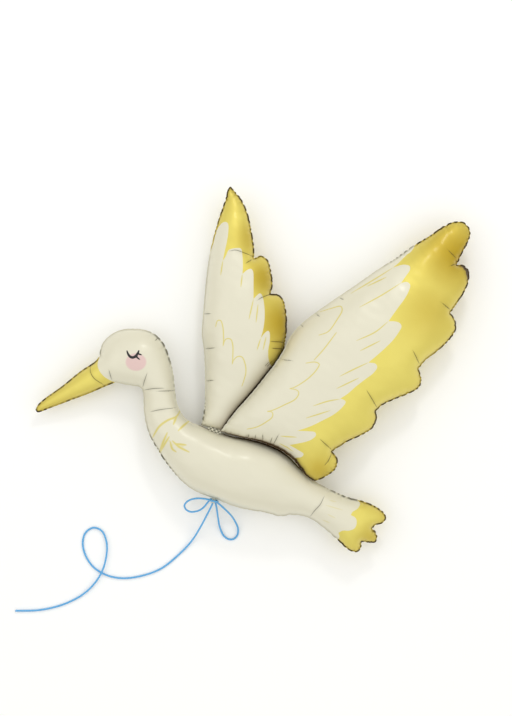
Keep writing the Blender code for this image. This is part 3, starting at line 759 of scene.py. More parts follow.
def seam_heights(node, points):
    """The height of the seam near each point, from the CAD node's own seam.

    The node's seam is where its two films are one weld apart. Its heights are blended by distance.
    """
    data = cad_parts[node].data
    co = np.zeros(len(data.vertices) * 3, np.float32)
    data.vertices.foreach_get("co", co)
    co = co.reshape(-1, 3).astype(float)
    keys, place = np.unique(np.round(co[:, :2], 5), axis=0, return_inverse=True)
    place = place.ravel()
    high, low = np.full(len(keys), -1.0), np.full(len(keys), 9.0)
    np.maximum.at(high, place, co[:, 2])
    np.minimum.at(low, place, co[:, 2])
    thin = (high - low) < SEAM_NODE_THICKNESS
    away = ((points[:, None] - keys[thin][None]) ** 2).sum(2)
    near = np.exp(-away / (2 * SEAM_BLEND**2)) + 1e-12
    return (near * (high + low)[thin] / 2).sum(1) / near.sum(1)


def noise_along(at, length, seed):
    """Smooth noise between -1 and 1 along a seam: sines of unrelated lengths with seeded phases."""
    random = np.random.default_rng(seed)
    total = np.zeros_like(at)
    for share in (1.0, 0.61, 0.37, 1.73):
        total += np.sin(2 * math.pi * at / (length * share) + random.uniform(0, 2 * math.pi))
    return total / 4


def seam_places(points, rim):
    """Each point's distance from the rim, how far along the rim its nearest place is, and its way in."""
    distance, segment, share = nearest_on(points, closed(rim))
    along = lengths_along(closed(rim))
    at = along[segment] + share * (along[segment + 1] - along[segment])
    normals = inward_normals(rim)
    inward = normals[segment] * (1 - share[:, None]) + normals[(segment + 1) % len(rim)] * share[:, None]
    return distance, at, inward


def pucker_strength(rim_points, spots):
    """How strongly the seam puckers at each point: the calm value, or more near one of the spots."""
    strength = np.full(len(rim_points), CALM)
    for x, y, reach, most in spots:
        away = np.linalg.norm(rim_points - placed((x, y)), axis=1) / (reach * UNIT)
        strength = np.maximum(strength, CALM + (most - CALM) * np.exp(-(away**2)))
    return strength


def pleated(strength):
    """How far fine pleats show: only where the seam puckers at more than half of its strength."""
    return np.clip(2 * strength - 1, 0, 1)


def surface_normals(vertices, triangles):
    """Normals at the vertices: the sum of their triangles' normals, weighted by area."""
    a, b, c = corner_arrays(vertices, triangles)
    across = np.cross(b - a, c - a)
    n = len(vertices)
    total = np.zeros((n, 3))
    for k in range(3):
        for axis in range(3):
            total[:, axis] += np.bincount(triangles[:, k], across[:, axis], n)
    return total / np.maximum(np.linalg.norm(total, axis=1), 1e-15)[:, None]


def pen_ink(points, lines, half_width, taper):
    """How far inside a pen line's edge each point is, negative outside it.

    A line is half_width to each side of its middle, and thins towards its ends by the share taper.
    """
    ink = np.full(len(points), -1.0)
    for curve in lines:
        distance, segment, share = nearest_on(points, curve)
        along = lengths_along(curve)
        at = (along[segment] + share * (along[segment + 1] - along[segment])) / along[-1]
        width = half_width * (1 - taper * (1 - np.sin(math.pi * at) ** 0.7))
        ink = np.maximum(ink, width - distance)
    return ink


def signed_side(points, runs, side):
    """The distance to a boundary line, positive on the side where the given place lies.

    The line is closed far beyond that place, and whatever lies in the closed ring is on its side.
    """
    curve = np.vstack([smooth_run(placed(run)) for run in runs])
    ends = curve[[0, -1]]
    outwards = placed(side) - ends.mean(0)
    outwards /= np.linalg.norm(outwards)
    far = ends[::-1] + outwards * FAR_AWAY + (ends[::-1] - ends.mean(0)) * SPREAD
    return np.where(inside(points, np.vstack([curve, far])), 1.0, -1.0) * nearest_on(points, curve)[0]


class Puckers:
    """Short folds that cross a seam at uneven places, each with its own depth, width, reach and slant."""

    def __init__(self, length, gap, reach, seed):
        random = np.random.default_rng(seed)
        places = np.cumsum(random.uniform(0.45, 1.55, int(length / gap * 2)) * gap)
        self.length = length
        self.places = places[places < length - gap / 2]
        n = len(self.places)
        self.depth = random.uniform(0.25, 1.0, n)
        self.width = random.uniform(0.09, 0.20, n) * gap
        self.reach = random.uniform(0.5, 1.5, n) * reach
        self.slant = random.uniform(-0.45, 0.45, n)

    def near(self, at):
        """For each place along the seam, the two puckers to each side of it and how far it is past each."""
        after = np.searchsorted(self.places, at)
        for beside in (-2, -1, 0, 1):
            k = (after + beside) % len(self.places)
            yield k, (at - self.places[k] + self.length / 2) % self.length - self.length / 2

    def depth_at(self, at, climb):
        """How deep the film is folded there: bell-shaped across a pucker, fading as it climbs the film."""
        total = np.zeros_like(at)
        for k, past in self.near(at):
            past = past - self.slant[k] * climb
            bell = np.exp(-((past / self.width[k]) ** 2) - climb / self.reach[k])
            total = np.maximum(total, self.depth[k] * bell)
        return total

    def pinch_at(self, at, width):
        """How far a pucker draws the seam in there, 1 at the middle of the deepest."""
        bells = [self.depth[k] * np.exp(-((past / width) ** 2)) for k, past in self.near(at)]
        return np.maximum.reduce(bells)

    def break_at(self, at, width):
        """How much the deeper puckers break the seam's dark line there."""
        deep = self.depth > BREAK_DEPTH
        return np.maximum.reduce([deep[k] * np.exp(-((past / width) ** 2)) for k, past in self.near(at)])


def add_attribute(mesh, name, values):
    """A float on each point of the mesh."""
    attribute = mesh.attributes.new(name, "FLOAT", "POINT")
    attribute.data.foreach_set("value", np.asarray(values, np.float32))


def new_piece(name, vertices, faces, material, replaces=(), slot=None):
    """A smooth mesh object, which rides on the balloon's one body unless it has no slot."""
    mesh = bpy.data.meshes.new(name)
    mesh.from_pydata(vertices.tolist(), [], faces)
    mesh.materials.append(material)
    mesh.polygons.foreach_set("use_smooth", np.full(len(mesh.polygons), True))
    mesh.update()
    piece = bpy.data.objects.new(name, mesh)
    bpy.context.scene.collection.objects.link(piece)
    if slot:
        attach(piece, "root")
    for node in replaces:
        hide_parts(node)
    return piece


def highest_near(points, pieces, reach, chunk=400):
    """The highest vertex of the pieces within reach of each point, seen from above, or -1 if none is."""
    high = np.full(len(points), -1.0)
    for piece in pieces:
        co = np.zeros(len(piece.data.vertices) * 3, np.float32)
        piece.data.vertices.foreach_get("co", co)
        co = co.reshape(-1, 3)
        low, top = co.min(0) - reach, co.max(0) + reach
        near = np.flatnonzero(((points > low[:2]) & (points < top[:2])).all(1))
        for start in range(0, len(near), chunk):
            rows = near[start : start + chunk]
            away = (points[rows, None, 0] - co[:, 0]) ** 2 + (points[rows, None, 1] - co[:, 1]) ** 2
            high[rows] = np.maximum(high[rows], np.where(away < reach**2, co[:, 2], -1.0).max(1))
    return high


def stem_height(flat):
    """Half the gathered stem's thickness: a flattened round bundle with pleats along it."""
    root, out, side = stem_axes()
    beyond, beside = (flat - root) @ out, np.abs((flat - root) @ side)
    share = np.clip(beside / (STEM_WIDTH / 2), 0, 1)
    pleats = 1 + STEM_PLEAT_SHARE * np.cos(share * STEM_PLEATS * math.pi)
    gathered = STEM_THICKNESS / 2 * np.sqrt(1 - share**2) * pleats * np.clip(beyond / STEM_RISE, 0, 1)
    return np.where((beyond > 0) & (beside < STEM_WIDTH / 2), gathered, 0.0)


def fold_depth(flat, folds):
    """How deep the drawn creases are at each point, 1 at the most: a sharp groove in a shallow fold."""
    depth = np.zeros(len(flat))
    for curve in folds:
        away, segment, share = nearest_on(flat, curve)
        middle = np.sin(math.pi * (segment + share) / (len(curve) - 1))
        groove = np.exp(-((away / GROOVE_WIDTH) ** 2)) * (0.35 + 0.65 * np.sqrt(np.maximum(middle, 0)))
        fold = FOLD_SHARE * np.exp(-((away / FOLD_WIDTH) ** 2)) * middle
        depth = np.maximum.reduce([depth, groove, fold])
    return depth


def border_edges(triangles):
    """The edges that only one triangle has, in that triangle's own direction."""
    edges = np.vstack([triangles[:, [0, 1]], triangles[:, [1, 2]], triangles[:, [2, 0]]])
    _, index, count = np.unique(np.sort(edges, axis=1), axis=0, return_index=True, return_counts=True)
    return edges[index[count == 1]]


def facing_up(flat, triangles):
    """The triangles, each turned to run anticlockwise seen from above."""
    a, b, c = corner_arrays(flat, triangles)
    turn = (b[:, 0] - a[:, 0]) * (c[:, 1] - a[:, 1]) - (b[:, 1] - a[:, 1]) * (c[:, 0] - a[:, 0])
    return np.where(turn[:, None] > 0, triangles, triangles[:, ::-1])


class FlatFilm:
    """An envelope's flat mesh, seen from above, and where each of its points lies beside the seam."""

    def __init__(self, runs, lines, weld_width):
        self.rim = ring_of(runs)
        self.points, triangles, weld = flat_mesh(self.rim, weld_width, lines)
        self.up = facing_up(self.points, triangles)
        self.free = inside(self.points, weld) & (nearest_on(self.points, closed(weld))[0] > ON_LINE)
        self.distance, self.at, self.inward = seam_places(self.points, self.rim)
        self.length = lengths_along(closed(self.rim))[-1]

    def swollen(self, swell):
        """The film's height over the weld line: swell times sqrt(2 u), where u solves -div grad u = 1.

        That gives a circle across a long straight tube, and pulls in towards a tip or a notch.
        """
        film = stretched_film(self.points, self.up, self.free, 1.0, 0.0)
        return np.sqrt(2 * np.maximum(film, 0)) * swell

    def seam(self, node):
        """The seam's height, which carries on inside as a film without load."""
        held = seam_heights(node, self.points)
        return stretched_film(self.points, self.up, self.distance > ON_LINE, 0.0, held)


def slack(flat):
    """How far the film lifts or sags where it is short of tension: waves at seeded angles and lengths."""
    random = np.random.default_rng(SLACK_SEED)
    lift = np.zeros(len(flat))
    for shortest, longest, height in SLACK_WAVES:
        for _ in range(SLACK_COUNT):
            angle, phase = random.uniform(0, 2 * math.pi, 2)
            along = flat @ np.array([math.cos(angle), math.sin(angle)])
            lift += height * np.sin(2 * math.pi * along / random.uniform(shortest, longest) + phase)
    return lift


def two_films(up, points):
    """The faces of two films on the same flat mesh, one above the other, with a wall round their edge."""
    border = border_edges(up)
    first, second = border[:, 0], border[:, 1]
    upper_wall = np.column_stack([second, first, first + points])
    lower_wall = np.column_stack([second, first + points, second + points])
    return np.vstack([up, up[:, ::-1] + points, upper_wall, lower_wall])


def painted_valley_shade(flat, valley_shade):
    """Painted shade: how far inside a valley's dark line each point is, negative outside it, and the dusk
    round it.
    """
    dark, dusk_shade = np.full(len(flat), -1.0), np.zeros(len(flat))
    for run, half_width, fade in valley_shade:
        line = pen_ink(flat, curves_of([run]), half_width, VALLEY_SHADE_TAPER)
        dark = np.maximum(dark, line)
        dusk_shade = np.maximum(dusk_shade, np.clip(1 + line / fade, 0, 1) ** 2)
    return dark, dusk_shade


def seam_shade(flat, strength, puckers, pleats, climb, fold, yellow):
    """How much painted shade darkens the film along its seam, in its pleats and in its folds, 1 the most.

    The seam's line is a painted reflection and shade, broken where a deep pucker turns the margin to the
    light. It shows all round the yellow film, and round the cream film only where that is puckered.
    """
    full, gone = SEAM_DARK
    on_yellow = np.clip(yellow / YELLOW_EDGE + 0.5, 0, 1)
    wandering = WANDER_MEAN + WANDER_SWING * noise_along(flat.at, WANDER_LENGTH, WANDER_SEED)
    puckered = np.clip((strength - CALM - SEAM_START) * SEAM_GROWTH, 0, SEAM_DARKEST)
    line = np.maximum(puckered, on_yellow * np.clip(wandering, *WANDER_LIMITS))
    line = line * np.clip((gone - flat.distance) / (gone - full), 0, 1)
    line = line * (1 - puckers.break_at(flat.at, BREAK_WIDTH))
    pucker = PUCKER_SHADE * strength * puckers.depth_at(flat.at, climb) * np.exp(-climb / PUCKER_FADE)
    pleat = PLEAT_SHADE * pleated(strength) * pleats.depth_at(flat.at, climb)
    return np.maximum.reduce([line, CREASE_SHADE * fold, pucker, pleat])


def gold_reflection_share(flat, climb):
    """The yellow film's painted reflection of a deeper gold: more in some places, and all along the seam.
    """
    gold_reflection = GOLD_REFLECTION_AT_SEAM * np.exp(-climb / GOLD_REFLECTION_FADE)
    for x, y, reach, share in GOLD_REFLECTIONS:
        away = np.linalg.norm(flat - placed((x, y)), axis=1) / (reach * UNIT)
        gold_reflection = np.maximum(gold_reflection, share * np.exp(-(away**2)))
    return gold_reflection


def inflated(node, runs, swell, spots, creases, printed, valley_shade=(), lower=()):
    """One envelope: its CAD node gives the seam's height, and the rest is worked out.

    Puckers and creases push the two films in along their normals. lower are the envelopes it leans on.
    """
    film = bpy.context.scene.stork_film
    folds = curves_of(creases)
    flat = FlatFilm(runs, folds + printed.lines, film.weld_width)
    height = flat.swollen(swell)
    if node == "body_envelope":
        height = np.maximum(height, stem_height(flat.points))
    height = height + slack(flat.points) * np.clip(height / SLACK_ROOM, 0, 1)

    upper, under = (Puckers(flat.length, film.pucker_gap, film.pucker_reach, seed) for seed in PUCKER_SEEDS)
    pleats = Puckers(flat.length, film.pleat_gap, film.pucker_reach, PLEAT_SEED)
    climb = np.where(flat.free, np.hypot(flat.distance - film.weld_width, height), 0.0)
    strength = pucker_strength(flat.points - flat.inward * flat.distance[:, None], spots)
    fading = strength * np.exp(-climb / film.pucker_reach)
    middle = flat.seam(node) + SEAM_WAVE * noise_along(flat.at, SEAM_WAVE_LENGTH, SEAM_WAVE_SEED) * fading
    pinch = SEAM_PINCH * (upper.pinch_at(flat.at, PINCH_WIDTH) - PINCH_MEAN) * fading
    pulled = flat.points + flat.inward * pinch[:, None]

    top = middle + film.weld_thickness / 2 + height
    bottom = middle - film.weld_thickness / 2 - height
    if lower:
        bottom = np.maximum(bottom, highest_near(pulled, lower, LEAN_REACH) + LEAN_GAP)
        top = np.maximum(top, bottom + film.weld_thickness)
    bottom = np.maximum(bottom, 0.0)

    fold = fold_depth(flat.points, folds)
    layers = []
    for z, faces, puckers in ((top, flat.up, upper), (bottom, flat.up[:, ::-1], under)):
        layer = np.column_stack([pulled, z])
        depth = film.pucker_depth * strength * puckers.depth_at(flat.at, climb) + film.crease_depth * fold
        depth += film.pleat_depth * pleated(strength) * pleats.depth_at(flat.at, climb)
        layers.append(layer - surface_normals(layer, faces) * np.where(flat.free, depth, 0.0)[:, None])
    layers[1][:, 2] = np.where(bottom <= 0, 0.0, np.maximum(layers[1][:, 2], 0.0))
    faces = two_films(flat.up, len(pulled)).tolist()
    vertices = np.vstack(layers)
    piece = new_piece(node + "_film", vertices, faces, satin_printed_film(), [node], "printed_foil")

    # The print, then painted shade and reflection: seam lines and folds, the valleys' shade and dusk, the
    # deeper gold.
    values = printed.at(flat.points)
    shade = seam_shade(flat, strength, upper, pleats, climb, fold, values["yellow"])
    values["shade"] = np.where(stem_height(flat.points) > 0, 0.0, shade)
    values["valley_shade"], values["dusk_shade"] = painted_valley_shade(flat.points, valley_shade)
    values["gold_reflection"] = gold_reflection_share(flat.points, climb)
    for name, value in values.items():
        add_attribute(piece.data, name, np.tile(value, 2))
    return piece


def curves_of(runs):
    """Smooth curves in metres from runs of the drawing."""
    return [smooth_run(placed(run)) for run in runs]


class BodyPrint:
    """The body's print: yellow beak and tail tips, an eyelid with lashes, a cheek and a tied neck band."""

    def __init__(self):
        self.pen, self.band = curves_of(TAIL_STROKES), curves_of(NECK_BAND)
        self.lid, self.lashes = curves_of(EYELID), curves_of(LASHES)
        self.lines = curves_of([*BEAK_END, *TAIL_TIPS]) + self.pen + self.band + self.lid + self.lashes

    def at(self, points):
        """The print's attributes at the points."""
        beak = signed_side(points, BEAK_END, BEAK_SIDE)
        tail = signed_side(points, TAIL_TIPS, TAIL_SIDE)
        faint = np.minimum(pen_ink(points, self.pen, *TAIL_PEN), TAIL_FAINTNESS)
        soft = pen_ink(points, self.band, *BAND_BRUSH) * BAND_SOFTNESS
        eye = np.maximum(pen_ink(points, self.lid, *LID_PEN), pen_ink(points, self.lashes, *LASH_PEN))
        cheek = np.linalg.norm((points - placed(CHEEK_PLACE)) / (np.array(CHEEK_RADII) * UNIT), axis=1)
        yellow, ink = np.maximum(beak, tail), np.maximum(faint, soft)
        return {"yellow": yellow, "ink": ink, "eye": eye, "cheek": 1 - cheek}


class WingPrint:
    """A wing's print: yellow past the feather tips, pen strokes in the feathers and a scalloped line."""

    def __init__(self, tips, side, strokes, coverts):
        self.tips, self.side = tips, side
        self.pen, self.scallops = curves_of(strokes), curves_of(coverts)
        self.lines = curves_of(tips) + self.pen + self.scallops

    def at(self, points):
        """The print's attributes at the points."""
        yellow = signed_side(points, self.tips, self.side)
        feathers = pen_ink(points, self.pen, *FEATHER_PEN)
        scallops = pen_ink(points, self.scallops, *SCALLOP_PEN)
        ink = np.maximum(feathers, scallops)
        none = np.full(len(points), -1.0)
        return {"yellow": yellow, "ink": ink, "eye": none, "cheek": none}


def add_node(tree, kind, values=None, links=None, **settings):
    """A shader node with its settings, its inputs' values, and its inputs' links from (node, output)."""
    made = tree.nodes.new(kind)
    for key, value in settings.items():
        setattr(made, key, value)
    for key, value in (values or {}).items():
        made.inputs[key].default_value = value
    for key, (source, output) in (links or {}).items():
        tree.links.new(source.outputs[output], made.inputs[key])
    return made


def new_material(name):
    """An empty material with a Principled shader, its output and its tree."""
    material = bpy.data.materials.new(name)
    material.use_nodes = True
    tree = material.node_tree
    tree.nodes.clear()
    shader = add_node(tree, "ShaderNodeBsdfPrincipled")
    add_node(tree, "ShaderNodeOutputMaterial", links={"Surface": (shader, "BSDF")})
    return material, tree, shader


def add_layer(tree, name, edge, under, over, most=1.0, curve="SMOOTHSTEP"):
    """A layer of ink or shade over what lies under it, as far as the named attribute says.

    It starts where the attribute passes the edge's first value, and covers most of what lies under it from
    the second value on. Each of the two colours is a fixed one or comes from a node.
    """
    source = add_node(tree, "ShaderNodeAttribute", attribute_name=name)
    values = {"From Min": edge[0], "From Max": edge[1], "To Max": most}
    share = add_node(
        tree, "ShaderNodeMapRange", values, {"Value": (source, "Fac")}, interpolation_type=curve)
    values, links = {}, {"Factor": (share, "Result")}
    for socket, colour in ((6, under), (7, over)):
        if isinstance(colour, bpy.types.Node):
            links[socket] = (colour, 2)
        else:
            values[socket] = colour
    return add_node(tree, "ShaderNodeMix", values, links, data_type="RGBA")


def satin_printed_film():
    """Printed metallised film: a satin cream ink hides the metal, and a clear yellow one shows it."""
    if "satin_printed_film" in bpy.data.materials:
        return bpy.data.materials["satin_printed_film"]
    film = bpy.context.scene.stork_film
    material, tree, shader = new_material("satin_printed_film")
    cream = add_layer(tree, "cheek", CHEEK_EDGE, film.cream, film.blush)
    cream = add_layer(tree, "ink", PEN_EDGE, cream, film.ochre)
    cream = add_layer(tree, "eye", PRINT_EDGE, cream, film.black)
    # Painted reflection: a deeper gold mixed into the yellow film.
    yellow = add_layer(tree, "gold_reflection", WHOLE, film.yellow, film.gold_reflection, curve="LINEAR")
    colour = add_layer(tree, "yellow", PRINT_EDGE, cream, yellow)
    # Painted reflection and shade, grey over the cream and brown over the yellow: seam lines, folds,
    # puckers, pleats.
    seam = add_layer(tree, "yellow", PRINT_EDGE, film.shade_grey, film.shade_brown)
    colour = add_layer(tree, "shade", WHOLE, colour, seam)
    # Painted shade: the dusk on film that faces into a deep valley, and the valley's own dark line.
    colour = add_layer(tree, "dusk_shade", WHOLE, colour, film.dusk_shade, DUSK_SHADE_MOST, "LINEAR")
    colour = add_layer(tree, "valley_shade", VALLEY_SHADE_EDGE, colour, film.valley)
    tree.links.new(colour.outputs[2], shader.inputs["Base Color"])

    # The cream ink is a plastic, and the yellow film a metal that its clear ink dulls. Both are uneven.
    place = add_node(tree, "ShaderNodeTexCoord")
    printed = add_node(tree, "ShaderNodeAttribute", attribute_name="yellow")
    edge = {"From Min": PRINT_EDGE[0], "From Max": PRINT_EDGE[1]}
    metal, base = (
        add_node(
            tree, "ShaderNodeMapRange", {**edge, "To Min": on_cream, "To Max": on_yellow},
            {"Value": (printed, "Fac")}, interpolation_type="SMOOTHSTEP")
        for on_cream, on_yellow in ((0.08, 0.60), (0.45, 0.55)))
    tree.links.new(metal.outputs[0], shader.inputs["Metallic"])
    cloud = add_node(
        tree, "ShaderNodeTexNoise", {"Scale": 38.0, "Detail": 3.0}, {"Vector": (place, "Object")})
    uneven = add_node(tree, "ShaderNodeMapRange", {"To Min": -0.04, "To Max": 0.04}, {"Value": (cloud, 0)})
    rough = add_node(tree, "ShaderNodeMath", links={0: (uneven, 0), 1: (base, 0)}, operation="ADD")
    tree.links.new(rough.outputs[0], shader.inputs["Roughness"])
    grain = add_node(
        tree, "ShaderNodeTexNoise", {"Scale": 85.0, "Detail": 2.0}, {"Vector": (place, "Object")})
    bump = add_node(tree, "ShaderNodeBump", {"Strength": 0.25, "Distance": 0.0006}, {"Height": (grain, 0)})
    tree.links.new(bump.outputs[0], shader.inputs["Normal"])
    shader.inputs["IOR"].default_value = 1.5
    shader.inputs["Coat Weight"].default_value = 0.25
    shader.inputs["Coat Roughness"].default_value = 0.20
    return material


def crimped_film():
    """The same film where a hot tool pressed it: without gloss, with painted shade in its crimp and at its
    edge.
    """
    film = bpy.context.scene.stork_film
    material, tree, shader = new_material("crimped_film")
    # Painted shade in the crimp's folds and at the patch's edge.
    colour = add_layer(tree, "groove", WHOLE, film.cream, film.shade_grey, curve="LINEAR")
    tree.links.new(colour.outputs[2], shader.inputs["Base Color"])
    place = add_node(tree, "ShaderNodeTexCoord")
    cloud = add_node(
        tree, "ShaderNodeTexNoise", {"Scale": 260.0, "Detail": 3.0}, {"Vector": (place, "Object")})
    rough = add_node(tree, "ShaderNodeMapRange", {"To Min": 0.38, "To Max": 0.55}, {"Value": (cloud, 0)})
    tree.links.new(rough.outputs[0], shader.inputs["Roughness"])
    shader.inputs["Metallic"].default_value = 0.1
    return material


def satin_cord():
    """Woven polyester satin: a soft sheen, with fine ribs across the cord."""
    if "satin_cord" in bpy.data.materials:
        return bpy.data.materials["satin_cord"]
    ribbon = bpy.context.scene.stork_ribbon
    material, tree, shader = new_material("satin_cord")
    along = add_node(tree, "ShaderNodeUVMap", uv_map="along")
    # The wave repeats every pi / (10 scale) along the cord.
    rib = add_node(
        tree, "ShaderNodeTexWave", {"Scale": math.pi / (10 * ribbon.rib_length), "Distortion": 0.4},
        {"Vector": (along, "UV")}, bands_direction="Y")
    shaded = (*(np.array(ribbon.blue)[:3] * RIB_SHADE), 1.0)
    colour = add_node(
        tree, "ShaderNodeMix", {6: shaded, 7: ribbon.blue}, {"Factor": (rib, "Fac")}, data_type="RGBA")
    tree.links.new(colour.outputs[2], shader.inputs["Base Color"])
    bump = add_node(tree, "ShaderNodeBump", {"Strength": 0.5, "Distance": 0.0003}, {"Height": (rib, "Fac")})
    tree.links.new(bump.outputs[0], shader.inputs["Normal"])
    shader.inputs["Roughness"].default_value = 0.42
    shader.inputs["Sheen Weight"].default_value = 0.25
    return material


def painted_floor():
    """Matt white studio floor, faintly uneven, so that it reads as a surface."""
    material, tree, shader = new_material("painted_floor")
    place = add_node(tree, "ShaderNodeTexCoord")
    cloud = add_node(
        tree, "ShaderNodeTexNoise", {"Scale": 1.4, "Detail": 4.0}, {"Vector": (place, "Object")})
    rough = add_node(tree, "ShaderNodeMapRange", {"To Min": 0.72, "To Max": 0.82}, {"Value": (cloud, 0)})
    tree.links.new(rough.outputs[0], shader.inputs["Roughness"])
    shader.inputs["Base Color"].default_value = bpy.context.scene.stork_stage.floor_colour
    return material


def knot_axes():
    """The knot's middle, and its directions out along the stem, sideways and up."""
    root, out, side = stem_axes()
    low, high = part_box("ribbon_knot")
    middle = np.array([*(root + out * STEM_LENGTH / 2), (low.z + high.z) / 2])
    return middle, np.array([*out, 0.0]), np.array([*side, 0.0]), np.array([0.0, 0.0, 1.0])


def laid(route):
    """A route's points in metres: their heights come from the drop to the floor and from the lifts."""
    ribbon = bpy.context.scene.stork_ribbon
    middle = knot_axes()[0]
    floor = ribbon.diameter / 2 + FLOOR_CLEARANCE
    r = np.array(route, float)
    height = floor + r[:, 2] * (middle[2] - floor) + r[:, 3] * ribbon.diameter
    return np.column_stack([placed(r), height])


def wrap_radius():
    """The radius of the cord's turn round the stem."""
    return STEM_WIDTH / 2 + TOUCH_GAP + bpy.context.scene.stork_ribbon.diameter / 2


def tail_route():
    """The tail's points, straight out from under the knot and then along its route."""
    ribbon = bpy.context.scene.stork_ribbon
    middle, out, _, up = knot_axes()
    low = middle - up * wrap_radius()
    reach = ribbon.diameter / 2 + TOUCH_GAP
    return np.vstack([low + out * reach, low + out * (reach + TAIL_START), laid(RIBBON_TAIL)])


def bow_route(route, ends):
    """A bow's points, from its first place on the knot, round its loop and back to its last."""
    middle, out, side, up = knot_axes()
    strands = []
    for turn, lean in np.radians(ends):
        outwards = side * math.cos(turn) + up * math.sin(turn)
        away = outwards * math.cos(lean) + out * math.sin(lean)
        reach = bpy.context.scene.stork_ribbon.diameter / 2 + TOUCH_GAP
        start = middle + outwards * wrap_radius() + away * reach
        strands.append([start, start + away * BOW_START])
    return np.vstack([*strands[0], laid(route), *strands[1][::-1]])


def tube(path, radius, is_closed=False):
    """A tube along a path: a circle carried along it without twist.

    At each point the circle lies in the plane across the path, and its first direction is level. Returns
    the vertices and the quads between them.
    """
    n, sides = len(path), CORD_SIDES
    if is_closed:
        tangent = np.roll(path, -1, axis=0) - np.roll(path, 1, axis=0)
    else:
        tangent = np.gradient(path, axis=0)
    tangent /= np.linalg.norm(tangent, axis=1)[:, None]
    first = np.cross(tangent, np.array([0.0, 0.0, 1.0]))
    first /= np.maximum(np.linalg.norm(first, axis=1), 1e-6)[:, None]
    second = np.cross(tangent, first)
    angle = np.arange(sides) * 2 * math.pi / sides
    radius = np.broadcast_to(radius, n)[:, None, None]
    ring = first[:, None] * np.cos(angle)[:, None] + second[:, None] * np.sin(angle)[:, None]
    vertices = (path[:, None] + ring * radius).reshape(-1, 3)
    index = np.arange(n * sides).reshape(n, sides)
    here = index if is_closed else index[:-1]
    there = np.roll(index, -1, axis=0) if is_closed else index[1:]
    quads = np.stack([here, np.roll(here, -1, axis=1), np.roll(there, -1, axis=1), there], axis=2)
    return vertices, quads.reshape(-1, 4)


def cord_piece(name, path, radius, node, is_closed=False):
    """A piece of the satin cord: a tube with its two ends capped, and a UV map that runs along it."""
    vertices, quads = tube(path, radius, is_closed)
    faces = quads.tolist()
    if not is_closed:
        first_cap, last_cap = range(CORD_SIDES), range(len(vertices) - CORD_SIDES, len(vertices))
        faces += [list(first_cap)[::-1], list(last_cap)]
    piece = new_piece(name, vertices, faces, satin_cord(), [node], "ribbon")
    corner = np.zeros(len(piece.data.loops), int)
    piece.data.loops.foreach_get("vertex_index", corner)
    along = lengths_along(closed(path) if is_closed else path)
    around = math.pi * bpy.context.scene.stork_ribbon.diameter
    uv = np.column_stack([(corner % CORD_SIDES) / CORD_SIDES * around, along[corner // CORD_SIDES]])
    piece.data.uv_layers.new(name="along").data.foreach_set("uv", uv.astype(np.float32).ravel())
    fix_outward(piece.data)
    return piece


def fix_outward(mesh):
    """Turns the mesh's faces over if they enclose a negative volume."""
    co = np.zeros(len(mesh.vertices) * 3)
    mesh.vertices.foreach_get("co", co)
    co = co.reshape(-1, 3) - co.reshape(-1, 3).mean(0)
    mesh.calc_loop_triangles()
    corners = np.zeros(len(mesh.loop_triangles) * 3, int)
    mesh.loop_triangles.foreach_get("vertices", corners)
    a, b, c = corner_arrays(co, corners.reshape(-1, 3))
    if (a * np.cross(b, c)).sum() < 0:
        mesh.flip_normals()


class STORK_OT_stage(bpy.types.Operator):
    """Makes the floor, the soft lights and a camera that looks straight down"""

    bl_idname = "stork.stage"
    bl_label = "Stage"

    def execute(self, context):
        scene = context.scene
        stage = scene.stork_stage
        corners = np.array([(-1, -1, 0), (1, -1, 0), (1, 1, 0), (-1, 1, 0)]) * stage.floor_side / 2
        floor = new_piece("floor", corners - [0, 0, FLOOR_DROP], [(0, 1, 2, 3)], painted_floor())
        self.add_camera(scene, stage)
        for name, place, sides, share in SOFTBOXES:
            self.add_softbox(scene, name, Vector(place), sides, stage.key_power * share)
        self.add_room(scene, stage)
        scene.view_settings.view_transform = "Standard"
        return {"FINISHED"}

    def add_camera(self, scene, stage):
        """A long lens straight above the picture's middle, framed so that a unit is a pixel."""
        data = bpy.data.cameras.new("camera")
        camera = bpy.data.objects.new("camera", data)
        scene.collection.objects.link(camera)
        camera.location = (*placed(PICTURE_MIDDLE), stage.camera_height)
        data.sensor_fit = "VERTICAL"
        data.sensor_height = data.sensor_width = SENSOR_SIDE
        data.lens = SENSOR_SIDE * (stage.camera_height - SEAM_LEVEL) / (PICTURE_UNITS * UNIT)
        data.clip_end = stage.floor_side
        scene.camera = camera

    def add_softbox(self, scene, name, place, sides, power):
        """A rectangular soft light that faces the balloon."""
        data = bpy.data.lights.new(name, "AREA")
        data.shape = "RECTANGLE"
        data.size, data.size_y = sides
        data.energy = power
        light = bpy.data.objects.new(name, data)
        light.location = Vector((*MIDDLE, BALLOON_LEVEL)) + place
        light.rotation_euler = (-place).to_track_quat("-Z", "Y").to_euler()
        scene.collection.objects.link(light)

    def add_room(self, scene, stage):
        """The studio round the stage: its light is palest overhead and darker towards the walls."""
        world = bpy.data.worlds.new("studio")
        world.use_nodes = True
        scene.world = world
        tree = world.node_tree
        place = add_node(tree, "ShaderNodeTexCoord")
        height = add_node(tree, "ShaderNodeSeparateXYZ", links={"Vector": (place, "Generated")})
        overhead = add_node(
            tree, "ShaderNodeMapRange", {"From Min": 0.0, "From Max": 0.85}, {"Value": (height, "Z")},
            interpolation_type="SMOOTHSTEP")
        room = add_node(
            tree, "ShaderNodeMix", {6: stage.walls, 7: stage.overhead}, {"Factor": (overhead, "Result")},
            data_type="RGBA")
        background = tree.nodes["Background"]
        tree.links.new(room.outputs[2], background.inputs["Color"])
        background.inputs["Strength"].default_value = stage.sky


